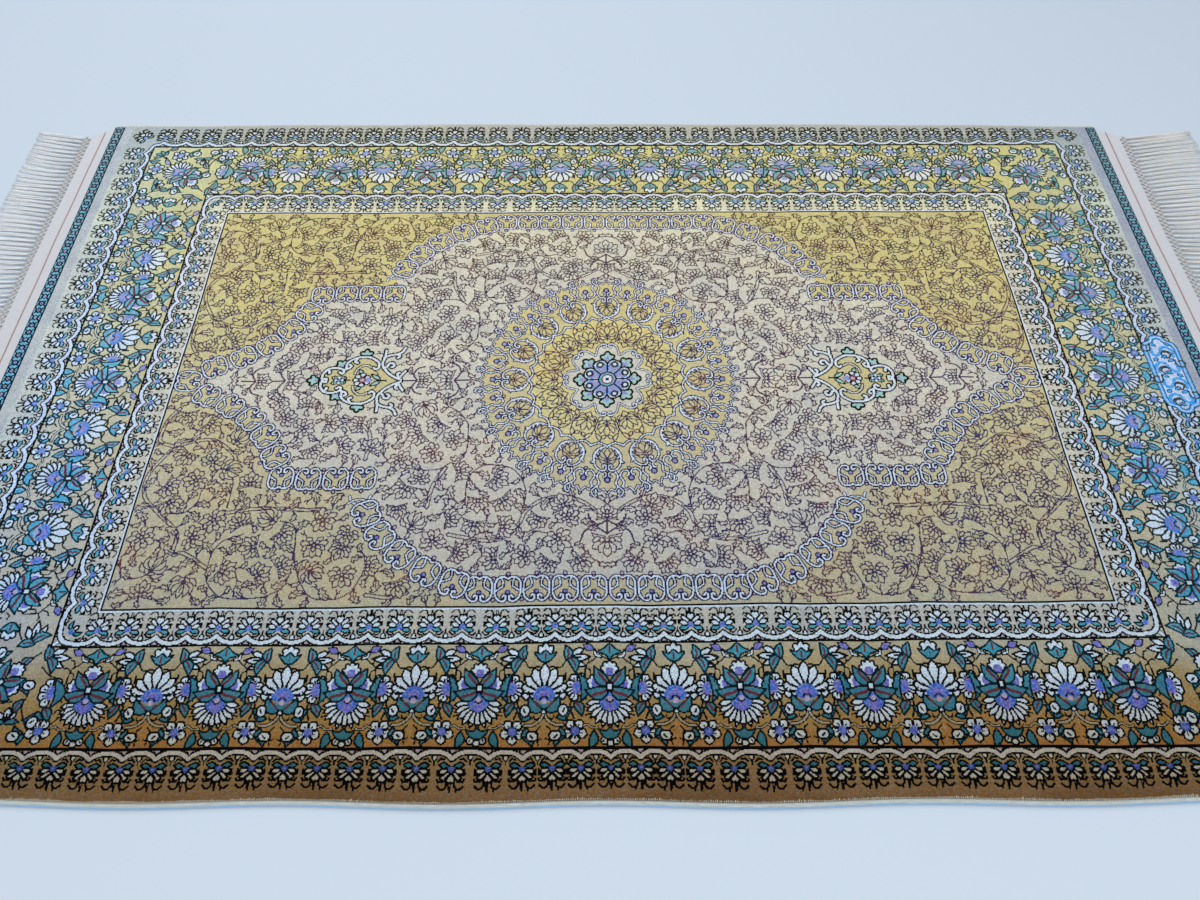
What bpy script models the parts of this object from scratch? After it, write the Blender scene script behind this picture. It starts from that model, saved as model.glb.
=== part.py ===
"""Hand-knotted silk rug with a fringe at both ends, lying flat.

The rug is one flat woven piece: a knotted pile between two flat-woven ends.
A wrapped edge cord runs along each long side of the pile, and a knotted
fringe, a comb of loose warp tassels, hangs from each short end.
X runs along the rug, Y across it, Z up; the underside lies at Z = 0.
"""

import math

import bmesh
import bpy

# ---------------------------------------------------------------- sizes, in metres
PILE_HALF_LENGTH = 0.757
FLAT_WEAVE_END = 0.790
PILE_HEIGHT = 0.0046
FLAT_WEAVE_HEIGHT = 0.0022
PILE_STEP = 0.0015

FAR_EDGE = 0.4973
NEAR_EDGE = 0.4980
FLAT_WEAVE_DRAW_IN = 0.019
OUTLINE_PITCH = 0.025
END_STATIONS = 24

CORD_RADIUS = 0.0022
CORD_AXIS_HEIGHT = CORD_RADIUS * math.cos(math.radians(30.0))
GAP = 0.0003

KNOT_BAND = 0.010
FRINGE_THICKNESS = 0.0020
LEFT_FRINGE_TIP = 0.877
RIGHT_FRINGE_TIP = 0.908
TASSELS = 112
TASSEL_STEPS = 2
TASSEL_SHARE = 0.62
TIP_SHARE = 0.34
FRINGE_SPREAD = 0.018

EDGE_ROUNDING = 0.0006

# each end's fringe: side, reach from the rug's middle, length of the sway, depth of the sway
FRINGES = (
    {"name": "fringe_left", "side": -1.0, "tip": LEFT_FRINGE_TIP, "wave": 0.23, "sway": 0.0035},
    {"name": "fringe_right", "side": 1.0, "tip": RIGHT_FRINGE_TIP, "wave": 0.31, "sway": 0.0050},
)

# colour (linear), roughness
MATERIALS = {
    "silk_pile": ((0.56, 0.42, 0.15, 1.0), 0.55),
    "silk_edge_cord": ((0.70, 0.76, 0.80, 1.0), 0.60),
    "silk_fringe": ((0.76, 0.75, 0.72, 1.0), 0.50),
}


def make_material(name):
    """Return a Principled material with the colour and roughness listed for it."""
    colour, roughness = MATERIALS[name]
    material = bpy.data.materials.new(name)
    material.use_nodes = True
    shader = material.node_tree.nodes["Principled BSDF"]
    shader.inputs["Base Color"].default_value = colour
    shader.inputs["Roughness"].default_value = roughness
    shader.inputs["Metallic"].default_value = 0.0
    material.diffuse_color = colour
    return material


def draw_in(x):
    """How much narrower the rug is at x: the flat-woven ends are drawn in by their warps."""
    past_pile = max(0.0, abs(x) - PILE_HALF_LENGTH)
    return FLAT_WEAVE_DRAW_IN * past_pile / (FLAT_WEAVE_END - PILE_HALF_LENGTH)


def far_edge(x):
    """Y of the pile's far long edge at x, with its slight bow, skew and waver."""
    along = x / PILE_HALF_LENGTH
    waver = 0.0007 * math.sin(2.0 * math.pi * x / 0.262 + 0.4)
    return FAR_EDGE + 0.0015 - 0.0032 * along - 0.0058 * along**2 + waver - draw_in(x)


def near_edge(x):
    """Y of the pile's near long edge at x, with its slight bow and waver."""
    along = x / PILE_HALF_LENGTH
    waver = 0.0017 * math.cos(2.0 * math.pi * (x + 0.160) / 0.305)
    return -(NEAR_EDGE + 0.0010 - 0.0042 * along**2 + waver - draw_in(x))


def end_line(side, y):
    """X of the flat weave's end at y: side is -1 for the left end and 1 for the right."""
    return side * (FLAT_WEAVE_END + 0.0012 * math.sin(2.0 * math.pi * y / 0.52 + 0.9 * side))


def outline_stations():
    """The x positions where the body is cut across, so that its outline can waver."""
    count = round(2.0 * PILE_HALF_LENGTH / OUTLINE_PITCH)
    stations = [-PILE_HALF_LENGTH + i * 2.0 * PILE_HALF_LENGTH / count for i in range(count + 1)]
    for side in (-1.0, 1.0):
        stations.append(side * (PILE_HALF_LENGTH + PILE_STEP))
        stations.append(side * (PILE_HALF_LENGTH + FLAT_WEAVE_END) * 0.5)
    return stations


def add_object(name, data, collection, material):
    """Link a new object that carries data, dressed in material."""
    thing = bpy.data.objects.new(name, data)
    data.materials.append(material)
    collection.objects.link(thing)
    return thing


def add_bevel(thing, width, segments):
    """Round the sharp edges of an object."""
    bevel = thing.modifiers.new("rounded_edges", "BEVEL")
    bevel.width = width
    bevel.segments = segments
    bevel.limit_method = "ANGLE"
    bevel.angle_limit = math.radians(40.0)
    bevel.use_clamp_overlap = True


def cut(bm, geometry, point, normal):
    """Cut geometry across at a plane, without removing anything."""
    bmesh.ops.bisect_plane(bm, geom=geometry, dist=1e-6, plane_co=point, plane_no=normal)


def make_body(collection, material):
    """The woven rug: a long flat box cut across at many stations, then shaped by its outline."""
    bm = bmesh.new()
    bmesh.ops.create_cube(bm, size=1.0)
    bmesh.ops.scale(bm, vec=(2.0 * FLAT_WEAVE_END, 1.0, 1.0), verts=bm.verts)
    for x in outline_stations():
        everything = bm.verts[:] + bm.edges[:] + bm.faces[:]
        cut(bm, everything, (x, 0.0, 0.0), (1.0, 0.0, 0.0))
    for i in range(1, END_STATIONS):
        ends = [face for face in bm.faces if abs(face.normal.x) > 0.9]
        edges = list({edge for face in ends for edge in face.edges})
        verts = list({vert for face in ends for vert in face.verts})
        cut(bm, verts + edges + ends, (0.0, i / END_STATIONS - 0.5, 0.0), (0.0, 1.0, 0.0))
    for vert in bm.verts:
        x, share, is_top = vert.co.x, vert.co.y + 0.5, vert.co.z > 0.0
        under_pile = abs(x) < PILE_HALF_LENGTH + 1e-5
        top = PILE_HEIGHT if under_pile else FLAT_WEAVE_HEIGHT
        y = near_edge(x) + share * (far_edge(x) - near_edge(x))
        if abs(x) > FLAT_WEAVE_END - 1e-5:
            x = end_line(math.copysign(1.0, x), y)
        vert.co = (x, y, top if is_top else 0.0)
    bmesh.ops.recalc_face_normals(bm, faces=bm.faces)
    mesh = bpy.data.meshes.new("rug_body")
    bm.to_mesh(mesh)
    bm.free()
    body = add_object("rug_body", mesh, collection, material)
    add_bevel(body, EDGE_ROUNDING, 1)
    return body


def make_edge_cord(name, edge, side, collection, material):
    """A wrapped cord along one long edge of the pile, one flat of its six on the floor."""
    curve = bpy.data.curves.new(name, "CURVE")
    curve.dimensions = "3D"
    curve.bevel_depth = CORD_RADIUS
    curve.bevel_resolution = 1
    curve.use_fill_caps = True
    stations = sorted(x for x in outline_stations() if abs(x) < PILE_HALF_LENGTH + 1e-6)
    spline = curve.splines.new("POLY")
    spline.points.add(len(stations) - 1)
    for point, x in zip(spline.points, stations):
        y = edge(x) + side * (GAP + CORD_RADIUS)
        point.co = (x, y, CORD_AXIS_HEIGHT, 1.0)
    return add_object(name, curve, collection, material)


def tassel_sway(share, y, fringe):
    """Sideways shift of a tassel at a share of its length: neighbours sway alike."""
    phase = 2.0 * math.pi * y / fringe["wave"]
    bend = math.sin(math.pi * share) * math.sin(phase)
    flick = share**2 * math.sin(2.3 * phase + 0.7)
    return fringe["sway"] * (0.6 * bend + 0.4 * flick)


def comb_outline(fringe):
    """The outline of a fringe seen from above: a straight band with one long tassel per knot."""
    side = fringe["side"]
    top = far_edge(side * FLAT_WEAVE_END)
    bottom = near_edge(side * FLAT_WEAVE_END)
    middle = 0.5 * (top + bottom)
    pitch = (top - bottom) / TASSELS
    band_end = FLAT_WEAVE_END + KNOT_BAND
    points = []
    for i in range(TASSELS):
        y = bottom + (i + 0.5) * pitch
        spread = (y - middle) / (0.5 * (top - bottom))
        length = fringe["tip"] - band_end
        length -= 0.004 * (0.5 + 0.5 * math.sin(2.4 * i + 1.1 * side))
        for edge in (-1.0, 1.0):
            shares = [step / TASSEL_STEPS for step in range(TASSEL_STEPS + 1)]
            if edge > 0.0:
                shares.reverse()
            for share in shares:
                width = TASSEL_SHARE + (TIP_SHARE - TASSEL_SHARE) * share**2
                shift = tassel_sway(share, y, fringe) + FRINGE_SPREAD * spread * share
                points.append(
                    (side * (band_end + length * share), y + shift + 0.5 * edge * width * pitch)
                )
    seat = []
    for i in range(END_STATIONS + 1):
        y = top + (bottom - top) * i / END_STATIONS
        seat.append((end_line(side, y) + side * GAP, y))
    return points + seat


def make_fringe(fringe, collection, material):
    """One fringe: a flat comb, its band of knots against the flat weave's end."""
    curve = bpy.data.curves.new(fringe["name"], "CURVE")
    curve.dimensions = "2D"
    curve.fill_mode = "BOTH"
    curve.extrude = FRINGE_THICKNESS * 0.5
    outline = comb_outline(fringe)
    spline = curve.splines.new("POLY")
    spline.points.add(len(outline) - 1)
    for point, (x, y) in zip(spline.points, outline):
        point.co = (x, y, 0.0, 1.0)
    spline.use_cyclic_u = True
    comb = add_object(fringe["name"], curve, collection, material)
    comb.location.z = FRINGE_THICKNESS * 0.5
    return comb


def centre_on_footprint(things):
    """Shift every piece by one vector, so that the origin is the middle of the whole footprint."""
    bpy.context.view_layer.update()
    graph = bpy.context.evaluated_depsgraph_get()
    corners = []
    for thing in things:
        evaluated = thing.evaluated_get(graph)
        corners += [evaluated.matrix_world @ vert.co for vert in evaluated.to_mesh().vertices]
        evaluated.to_mesh_clear()
    for axis in (0, 1):
        low = min(c[axis] for c in corners)
        high = max(c[axis] for c in corners)
        for thing in things:
            thing.location[axis] -= 0.5 * (low + high)


def main():
    """Clear the scene and build the rug's five pieces."""
    for thing in list(bpy.data.objects):
        bpy.data.objects.remove(thing, do_unlink=True)
    collection = bpy.data.collections.new("persian_rug")
    bpy.context.scene.collection.children.link(collection)
    pile = make_material("silk_pile")
    cord = make_material("silk_edge_cord")
    fringe_silk = make_material("silk_fringe")
    things = [
        make_body(collection, pile),
        make_edge_cord("edge_cord_near", near_edge, -1.0, collection, cord),
        make_edge_cord("edge_cord_far", far_edge, 1.0, collection, cord),
    ]
    things += [make_fringe(fringe, collection, fringe_silk) for fringe in FRINGES]
    centre_on_footprint(things)


main()
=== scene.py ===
"""Looks of a hand-knotted silk rug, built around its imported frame.

The pile is woven here the way the real one is: a knot chart, one yarn for each
knot, is drawn for a quarter of the rug with the motifs of a city workshop, and
is mirrored to the four quarters. The chart then becomes flat tufts of silk, a
run of like knots at a time, that lie on the rug's cloth. Flat-woven ends,
overcast edge cords and silk fringes finish it.

X runs along the rug, Y across it, Z up. Chart sizes are in millimetres from the
rug's own middle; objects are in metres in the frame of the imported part.
"""

import logging
import math
from dataclasses import dataclass, replace
from enum import IntEnum
from typing import Callable, Iterable, Sequence

import bpy
import numpy as np
from mathutils import Matrix, Vector
from mathutils.kdtree import KDTree


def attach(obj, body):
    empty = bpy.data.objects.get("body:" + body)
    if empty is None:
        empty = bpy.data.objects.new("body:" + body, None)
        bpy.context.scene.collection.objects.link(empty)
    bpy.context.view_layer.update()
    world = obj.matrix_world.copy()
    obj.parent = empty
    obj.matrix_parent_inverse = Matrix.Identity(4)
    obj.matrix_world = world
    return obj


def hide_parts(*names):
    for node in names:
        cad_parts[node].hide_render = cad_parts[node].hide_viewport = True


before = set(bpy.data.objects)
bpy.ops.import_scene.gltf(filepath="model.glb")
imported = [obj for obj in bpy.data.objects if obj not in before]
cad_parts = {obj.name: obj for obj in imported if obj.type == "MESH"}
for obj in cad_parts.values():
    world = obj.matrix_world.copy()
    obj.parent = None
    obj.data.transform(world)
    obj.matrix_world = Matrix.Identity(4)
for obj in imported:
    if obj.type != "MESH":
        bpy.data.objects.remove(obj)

log = logging.getLogger("silk_rug")

Points = Sequence[complex] | np.ndarray

MM = 0.001
RUG_MIDDLE = (-0.0155, 0.0003)
SEED = 1204


# ------------------------------------------------------------------ yarns
class Yarn(IntEnum):
    """The dyed silks of the pile; the number is the one the knot chart holds."""

    GOLD = 0
    CREAM = 1
    WHITE = 2
    ICE = 3
    TEAL = 4
    DEEP_TEAL = 5
    LILAC = 6
    BLUE = 7
    PINK = 8
    RED = 9
    BLACK = 10
    OLIVE = 11
    MAUVE = 12
    NAVY = 13
    VIOLET = 14
    SKY = 15
    AQUA = 16
    # Cream again, in a copy darker and cooler at the ends: painted shade.
    PEARL = 17
    HONEY = 18


(GOLD, CREAM, WHITE, ICE, TEAL, DEEP_TEAL, LILAC, BLUE, PINK, RED, BLACK, OLIVE, MAUVE, NAVY, VIOLET,
 SKY, AQUA, PEARL, HONEY) = Yarn
OUTLINES = (MAUVE, VIOLET, OLIVE, BLACK, DEEP_TEAL)
NO_YARN = 255


# ------------------------------------------------------------------ outlines
def turned(degrees: float) -> complex:
    """The unit complex number that turns a point by that many degrees."""
    return complex(math.cos(math.radians(degrees)), math.sin(math.radians(degrees)))


def spline(points: Points, closed: bool = False, steps: int = 6) -> np.ndarray:
    """A smooth curve through a few points.

    Each stretch is the Catmull-Rom cubic, which leaves and reaches its two ends
    along the line between their neighbours.

    Args:
        points: the points, as complex numbers.
        closed: whether the curve returns to its first point.
        steps: pieces for each stretch.

    Returns:
        The curve's points.
    """
    p = np.asarray(points, complex)
    if closed:
        a, b, c, d = np.roll(p, 1), p, np.roll(p, -1), np.roll(p, -2)
    else:
        padded = np.concatenate([[2 * p[0] - p[1]], p, [2 * p[-1] - p[-2]]])
        a, b, c, d = padded[:-3], padded[1:-2], padded[2:-1], padded[3:]
    t = (np.arange(steps) / steps)[None, :]
    a, b, c, d = (q[:, None] for q in (a, b, c, d))
    curve = b + 0.5 * t * (c - a + t * (2 * a - 5 * b + 4 * c - d + t * (3 * b - a - 3 * c + d)))
    return curve.ravel() if closed else np.append(curve.ravel(), p[-1])


def blade(base: complex, tip: complex, width: float, bend: float = 0.0,
          fullness: float = 1.0, steps: int = 9) -> np.ndarray:
    """The outline of a leaf or petal.

    Its rib runs from base to tip, bowed sideways by bend of its length, and its
    half width along the rib is sin(pi * t ** fullness), so that a fullness above
    1 makes a petal, wide near its tip, and one below 1 a leaf, wide at its foot.

    Args:
        base: where it grows from.
        tip: its end.
        width: its full width, in mm.
        bend: how far the rib bows to its left, as a share of its length.
        fullness: where it is widest.
        steps: points along each side.

    Returns:
        The outline's points.
    """
    t = np.linspace(0.0, 1.0, steps)
    along = tip - base
    rib = base + along * t + 1j * along * bend * 4.0 * t * (1.0 - t)
    half = 0.5 * width * np.sin(np.pi * t**fullness) * 1j * along / abs(along)
    return np.concatenate([rib + half, (rib - half)[::-1]])


def ring(middle: complex, radius: float, tall: float = 1.0, steps: int = 14) -> np.ndarray:
    """A circle, or an oval that is tall times as high as it is wide."""
    angle = np.linspace(0.0, 2.0 * np.pi, steps, endpoint=False)
    return middle + radius * (np.cos(angle) + 1j * tall * np.sin(angle))


def arc(middle: complex, radius: float, start: float, end: float, steps: int = 10) -> np.ndarray:
    """Part of a circle, from one angle in degrees to another."""
    return middle + radius * np.exp(1j * np.radians(np.linspace(start, end, steps)))


def scalloped(middle: complex, radius: float, start: float, end: float, lobes: int,
              depth: float) -> np.ndarray:
    """An arc with rounded lobes: its radius swells by depth * |sin| once for each lobe."""
    share = np.linspace(0.0, 1.0, 5 * lobes + 1)
    swell = radius + depth * np.abs(np.sin(np.pi * lobes * share))
    return middle + swell * np.exp(1j * np.radians(start + (end - start) * share))


def mirrored(half: Points) -> np.ndarray:
    """A closed outline from its half to the right of the stem."""
    right = np.asarray(half, complex)
    return np.append(right, -right[::-1].conj())


def tendril(start: complex, heading: float, length: float, curl: float, tighten: float = 1.0,
            steps: int = 14) -> np.ndarray:
    """A curling shoot: its heading turns by curl degrees in all, ever faster towards its end."""
    share = np.linspace(0.0, 1.0, steps)
    angle = np.radians(heading + curl * share ** (1.0 + tighten))
    stride = length / (steps - 1) * np.exp(1j * 0.5 * (angle[1:] + angle[:-1]))
    return start + np.concatenate([[0.0], np.cumsum(stride)])


# ------------------------------------------------------------------ the knot chart
class Chart:
    """The knot chart: a yarn number for each knot, 1 mm apart, of a quarter of the rug."""

    def __init__(self, columns: int, rows: int) -> None:
        self.knots = np.full((rows, columns), int(GOLD), np.uint8)
        self.stretch = 1+1j

    def stretched(self, points: np.ndarray) -> np.ndarray:
        """Points drawn with the chart's stretch: its real part along, its imaginary one across."""
        return points.real * self.stretch.real + 1j * points.imag * self.stretch.imag

    def window(self, points: np.ndarray, reach: float) -> tuple[slice, slice, np.ndarray] | None:
        """The part of the chart around some points.

        Args:
            points: the points, in mm.
            reach: how far past them the window goes, in mm.

        Returns:
            Its rows, its columns and its knots' middles, or None where it is off the chart.
        """
        rows, columns = self.knots.shape
        left = max(0, math.floor(points.real.min() - reach))
        right = min(columns, math.ceil(points.real.max() + reach))
        low = max(0, math.floor(points.imag.min() - reach))
        high = min(rows, math.ceil(points.imag.max() + reach))
        if left >= right or low >= high:
            return None
        middles = (np.arange(left, right) + 0.5)[None, :] + 1j * (np.arange(low, high) + 0.5)[:, None]
        return slice(low, high), slice(left, right), middles

    def fill(self, outline: np.ndarray, yarn: Yarn) -> None:
        """Knot the inside of a closed outline: a knot is inside where the outline's sides
        cross the line to its right an odd number of times."""
        outline = self.stretched(outline)
        found = self.window(outline, 0.0)
        if found is None:
            return
        rows, columns, middles = found
        x, y = middles.real[0], middles.imag[:, 0]
        p, q = outline, np.roll(outline, -1)
        rise = np.where(q.imag == p.imag, 1.0, q.imag - p.imag)
        crossed = (p.imag[:, None] > y) != (q.imag[:, None] > y)
        at = p.real[:, None] + (y - p.imag[:, None]) * ((q.real - p.real) / rise)[:, None]
        inside = np.zeros(middles.shape, bool)
        for side in np.flatnonzero(crossed.any(axis=1)):
            inside ^= crossed[side][:, None] & (x[None, :] < at[side][:, None])
        self.knots[rows, columns][inside] = yarn

    def stroke(self, line: np.ndarray, width: float | np.ndarray, yarn: Yarn, closed: bool = False) -> None:
        """Knot a line: every knot nearer to it than half its width.

        Args:
            line: its points.
            width: its full width, one number or one for each point.
            yarn: the yarn.
            closed: whether it returns to its first point.
        """
        line = self.stretched(line)
        width = np.broadcast_to(np.asarray(width, float), line.shape)
        if closed:
            line, width = np.append(line, line[0]), np.append(width, width[0])
        for first in range(0, len(line) - 1, STROKE_CHUNK):
            p = line[first:first + STROKE_CHUNK + 1]
            w = width[first:first + STROKE_CHUNK + 1]
            found = self.window(p, float(w.max()) * 0.5)
            if found is None:
                continue
            rows, columns, middles = found
            step = (p[1:] - p[:-1])[:, None, None]
            away = middles[None] - p[:-1][:, None, None]
            length = np.maximum(np.abs(step) ** 2, 1e-9)
            t = np.clip((away * step.conj()).real / length, 0.0, 1.0)
            half = 0.5 * (w[:-1, None, None] + t * (w[1:] - w[:-1])[:, None, None])
            near = (np.abs(away - t * step) < half).any(axis=0)
            self.knots[rows, columns][near] = yarn


STROKE_CHUNK = 12
LINE = 2.0
BOLD = 1.9


@dataclass(frozen=True)
class Place:
    """A spot on the chart where a motif is drawn.

    A motif's own points have +v, the imaginary axis, up its stem. The place puts
    them at a spot, turned, sized and, where flip is set, mirrored across the stem.
    """

    chart: Chart
    at: complex = 0j
    turn: complex = 1.0+0j
    size: float = 1.0
    flip: bool = False

    def put(self, points: Points | complex) -> np.ndarray:
        """Chart points of a motif's own points."""
        z = np.asarray(points, complex) * self.size
        return self.at + self.turn * (-z.conj() if self.flip else z)

    def inner(self, at: complex, degrees: float = 0.0, size: float = 1.0, flip: bool = False) -> "Place":
        """A place within this one, turned by some degrees."""
        turn = turned(degrees)
        return Place(self.chart, complex(self.put(at)), self.turn * (turn.conjugate() if self.flip else turn),
            self.size * size, self.flip != flip)

    def both(self) -> tuple["Place", "Place"]:
        """This place and its mirror image, for the two halves of a motif."""
        return self, replace(self, flip=not self.flip)

    def fill(self, outline: np.ndarray, yarn: Yarn, edge: Yarn | None = None, line: float = LINE) -> None:
        """Knot a closed shape, with an outline where edge names its yarn."""
        points = self.put(outline)
        self.chart.fill(points, yarn)
        if edge is not None:
            self.chart.stroke(points, line, edge, closed=True)

    def white(self, outline: np.ndarray, line: float = LINE) -> None:
        """Knot a white petal with a black outline."""
        self.fill(outline, WHITE, BLACK, line)

    def teal(self, outline: np.ndarray) -> None:
        """Knot a teal leaf with a deeper edge."""
        self.fill(outline, TEAL, DEEP_TEAL, BOLD)

    def line(self, points: Points, yarn: Yarn, width: float | np.ndarray = LINE) -> None:
        """Knot an open line."""
        self.chart.stroke(self.put(points), width, yarn)

    def band(self, points: Points, yarn: Yarn, width: float, edge: Yarn,
             line: float = 1.0, closed: bool = False) -> None:
        """Knot a band with a line along both its sides."""
        spots = self.put(points)
        self.chart.stroke(spots, width + 2.0 * line, edge, closed)
        self.chart.stroke(spots, width, yarn, closed)


def draw_ribbons(p: Place, edge: float, ribbons: Sequence[tuple[Points, float | np.ndarray]]) -> None:
    """Pale blue ribbons on both sides of a stem, with a violet edge around them all.

    Args:
        p: the stem's place.
        edge: how much wider the violet is than the blue, in mm.
        ribbons: each ribbon's line and width.
    """
    for yarn, extra in ((VIOLET, edge), (ICE, 0.0)):
        for q in p.both():
            for line, width in ribbons:
                q.line(line, yarn, width + extra)


# ------------------------------------------------------------------ border motifs
# Each motif grows up the imaginary axis of its place, from a stem at its middle.
def draw_leaf(p: Place, base: complex, tip: complex, width: float, bend: float = 0.0,
              vein: bool = False, fullness: float = 0.85) -> None:
    """A teal leaf with a deeper edge, and a red vein where one is wanted."""
    p.teal(blade(base, tip, width, bend, fullness))
    if vein:
        t = np.array([0.15, 0.4, 0.65])
        rib = base + (tip - base) * t + 1j * (tip - base) * bend * 4.0 * t * (1.0 - t)
        p.line(rib, RED, 2.0)


def draw_bud(p: Place) -> None:
    """A white bud with a dark eye, half wrapped in a teal leaf that curls back."""
    draw_leaf(p, -3j, 9.5+9j, 9.5, 0.30)
    draw_leaf(p, 1-3j, -9+1j, 7.0, -0.22)
    p.white(ring(-1+7.5j, 5.0, 1.2))
    p.line([-1.4+5.8j, 0.6+8.6j], BLACK, 2.0)


def draw_rosette(p: Place, radius: float = 12.5, petals: int = 5) -> None:
    """A small white flower: rounded petals with dark eyes around a blue middle."""
    spokes = [turned(-90.0 + 360.0 * k / petals) for k in range(petals)]
    for spoke in spokes:
        p.white(blade(0.1 * radius * spoke, radius * spoke, 3.8 * radius / petals, 0.0, 1.5), 1.8)
    for spoke in spokes:
        p.line([0.40 * radius * spoke, 0.58 * radius * spoke], BLACK, 1.4)
    p.fill(ring(0j, 0.34 * radius), BLUE)
    p.fill(ring(0j, 0.20 * radius), LILAC)


def draw_six_petals(p: Place) -> None:
    """The corner's small flower, with a sixth petal."""
    draw_rosette(p, 12.5, 6)


def draw_blossom(p: Place) -> None:
    """Three long white petals between two red-veined teal leaves."""
    for base, tip, width in ((3+3j, 8.5+20j, 6.6), (-4+4j, -10+18j, 6.6), (-0.5+3j, -1+24.5j, 7.4)):
        p.white(blade(base, tip, width, 0.0, 1.0))
    p.line([-0.6+8j, -0.8+14.5j], BLACK, 1.8)
    draw_leaf(p, -2+0.5j, 16+9j, 9.5, 0.20, True)
    draw_leaf(p, 2+0j, -14.5-2j, 9.0, -0.16, True)


def draw_lobed_flower(p: Place) -> None:
    """A white lobed flower with a lilac heart, wrapped in a teal crescent on its right."""
    for spot in (-4.2+9.2j, -8.2+3j, -8.2-4j, -4.2-10.2j, 3+9.6j):
        p.white(ring(spot, 4.4))
        p.line([0.78 * spot, 0.98 * spot], BLACK, 1.6)
    p.fill(ring(-1-0.5j, 5.2, 1.35), LILAC)
    p.fill(ring(-0.5j, 3.0, 1.35), BLUE)
    p.teal(blade(-1+14j, 2-15.5j, 10.0, 0.26, 0.95))
    draw_leaf(p, -4-14.5j, 4-29j, 9.0, 0.14, True)


def draw_cup(p: Place) -> None:
    """A white lobed flower in a teal cup."""
    p.white(np.append(scalloped(9j, 7.0, 15.0, 165.0, 3, 2.4), [-7+7.5j, 7+7.5j]))
    p.teal(spline([0j, 5+2j, 10.5+9.5j, 4.5+8j, 11.5j, -4.5+8j, -10.5+9.5j, -5+2j], closed=True, steps=3))
    p.line([3j, 8j], RED, 2.0)


def draw_trefoil(p: Place) -> None:
    """A teal leaf of three points with a red rib."""
    p.teal(spline([0j, 4+4.5j, 11+7j, 5.5+10.5j, 15j, -5.5+10.5j, -11+7j, -4+4.5j], closed=True, steps=3))
    p.line([6.5j, 12.5j], RED, 2.0)


def draw_small_lily(p: Place) -> None:
    """Three short white petals over two level teal leaves."""
    for q in p.both():
        draw_leaf(q, 0j, 13+1j, 6.0, 0.1)
        q.white(blade(2+3j, 8+10j, 5.4, 0.0, 1.3))
    p.white(blade(2j, 15j, 6.8, 0.0, 1.4))
    p.line([5j, 9j], BLACK, 1.7)


def draw_veined_leaf(p: Place) -> None:
    """One red-veined leaf on a short dark stem."""
    p.line([-6j, 0j], BLACK, LINE)
    draw_leaf(p, 0j, 1+14j, 8.0, 0.14, True)


def draw_lilac_bud(p: Place) -> None:
    """A pointed lilac bud on a white stem."""
    p.line([-7j, 0j], BLACK, 1.9)
    p.fill(blade(-1j, 11.5j, 7.4, 0.0, 0.85), LILAC, BLACK, 1.2)


def draw_leaf_cluster(p: Place) -> None:
    """The bushy teal cluster of the border's outer corner."""
    for degrees in (60.0, 20.0, -20.0, -60.0):
        draw_leaf(p.inner(0j, degrees), 2j, 13j, 6.0, 0.12)
    p.line([-10j, 2j], BLACK, LINE)


def draw_great_palmette(p: Place, foot: bool = True) -> None:
    """The border's great palmette: four teal leaves around a white knop, with lilac lobes
    between them, a fan of narrow white petals below and, where it stands in a row, a foot."""
    for k in range(-5, 6):
        spoke = turned(-90.0 + 16.0 * k)
        reach = 28.0 - 0.16 * k * k
        p.white(blade(-13j + 7.0 * spoke, -13j + reach * spoke, 6.2, 0.0, 1.35), 1.9)
    p.fill(ring(-13j, 10.8, 1.0), BLUE)
    p.fill(blade(-12j, -25.5j, 12.0, 0.0, 0.8), LILAC)
    for q in p.both():
        q.white(scalloped(15.5+4.5j, 6.4, -80.0, 100.0, 3, 1.8))
        q.fill(ring(14.0+4.0j, 4.6, 1.3), LILAC)
    p.white(np.append(scalloped(18j, 7.4, -10.0, 190.0, 5, 2.2), [-4+12j, 4+12j]))
    p.fill(ring(16.0j, 4.6), LILAC)
    for q in p.both():
        q.teal(blade(-2j, 25.5-3.0j, 13.6, -0.17, 0.8))
        q.line([4-4j, 8-6j, 11-6.5j, 17-8.5j], RED, 3.0)
        q.teal(blade(1j, 16.0+21j, 11.8, -0.10, 0.8))
        q.line([3+4.5j, 7+9j, 11.5+14.5j], RED, 2.8)
    p.fill(ring(-11.5j, 2.6), PINK)
    p.line(arc(-11.5j, 3.4, 200.0, 340.0), BLACK, 1.5)
    p.white(mirrored([3-3.5j, 3+3.7j]), 2.2)
    if not foot:
        return
    p.line([-37j, -43j], RED, 1.8)
    for q in p.both():
        q.line([-37j, 5-36j, 10-33j], BLACK, LINE)
        q.teal(blade(16-43j, 21-60j, 9.0, -0.12, 0.9))
        q.band([12-40j, 18-40.5j, 23-37j, 26.5-38.5j], CREAM, 1.3, BLACK, 0.9)
        q.white(ring(5.8-52.5j, 3.8))
        q.line([6.2-52j, 7-53j], BLACK, 1.6)
    p.white(ring(-55j, 3.5))
    p.teal(spline([-11-42j, -4.5-43.5j, -40j, 4.5-43.5j, 11-42j, 6-49.5j, -51j, -6-49.5j],
                  closed=True, steps=3))


def draw_palmette_neighbours(p: Place) -> None:
    """What grows between the great palmette and the field: a trefoil, lilac buds and shoots."""
    for q in p.both():
        q.line(spline([28j, 7+31j, 13+31j, 18+27j, 24+22j, 25+14j, 25.5+6j]), BLACK, 1.5)
        q.band([10+31.5j, 14.5+33j, 15.5+38j], WHITE, 1.6, BLACK, 1.1)
        for hook in ((24+21j, 29+24j, 32+23j), (9+30j, 8+36j, 11+38j), (21+25j, 23+31j, 27+33j),
                     (19.5+10j, 20+17j, 23.5+19j), (24-12j, 27-8j, 31-9j), (20-22j, 25-20j, 28-23j),
                     (15-31j, 19-27j, 24-28j)):
            q.line(spline(hook, steps=3), BLACK, 1.5)
        draw_lilac_bud(q.inner(17.5+39j, -62.0))
    draw_trefoil(p.inner(28.5j, size=1.1))


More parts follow.
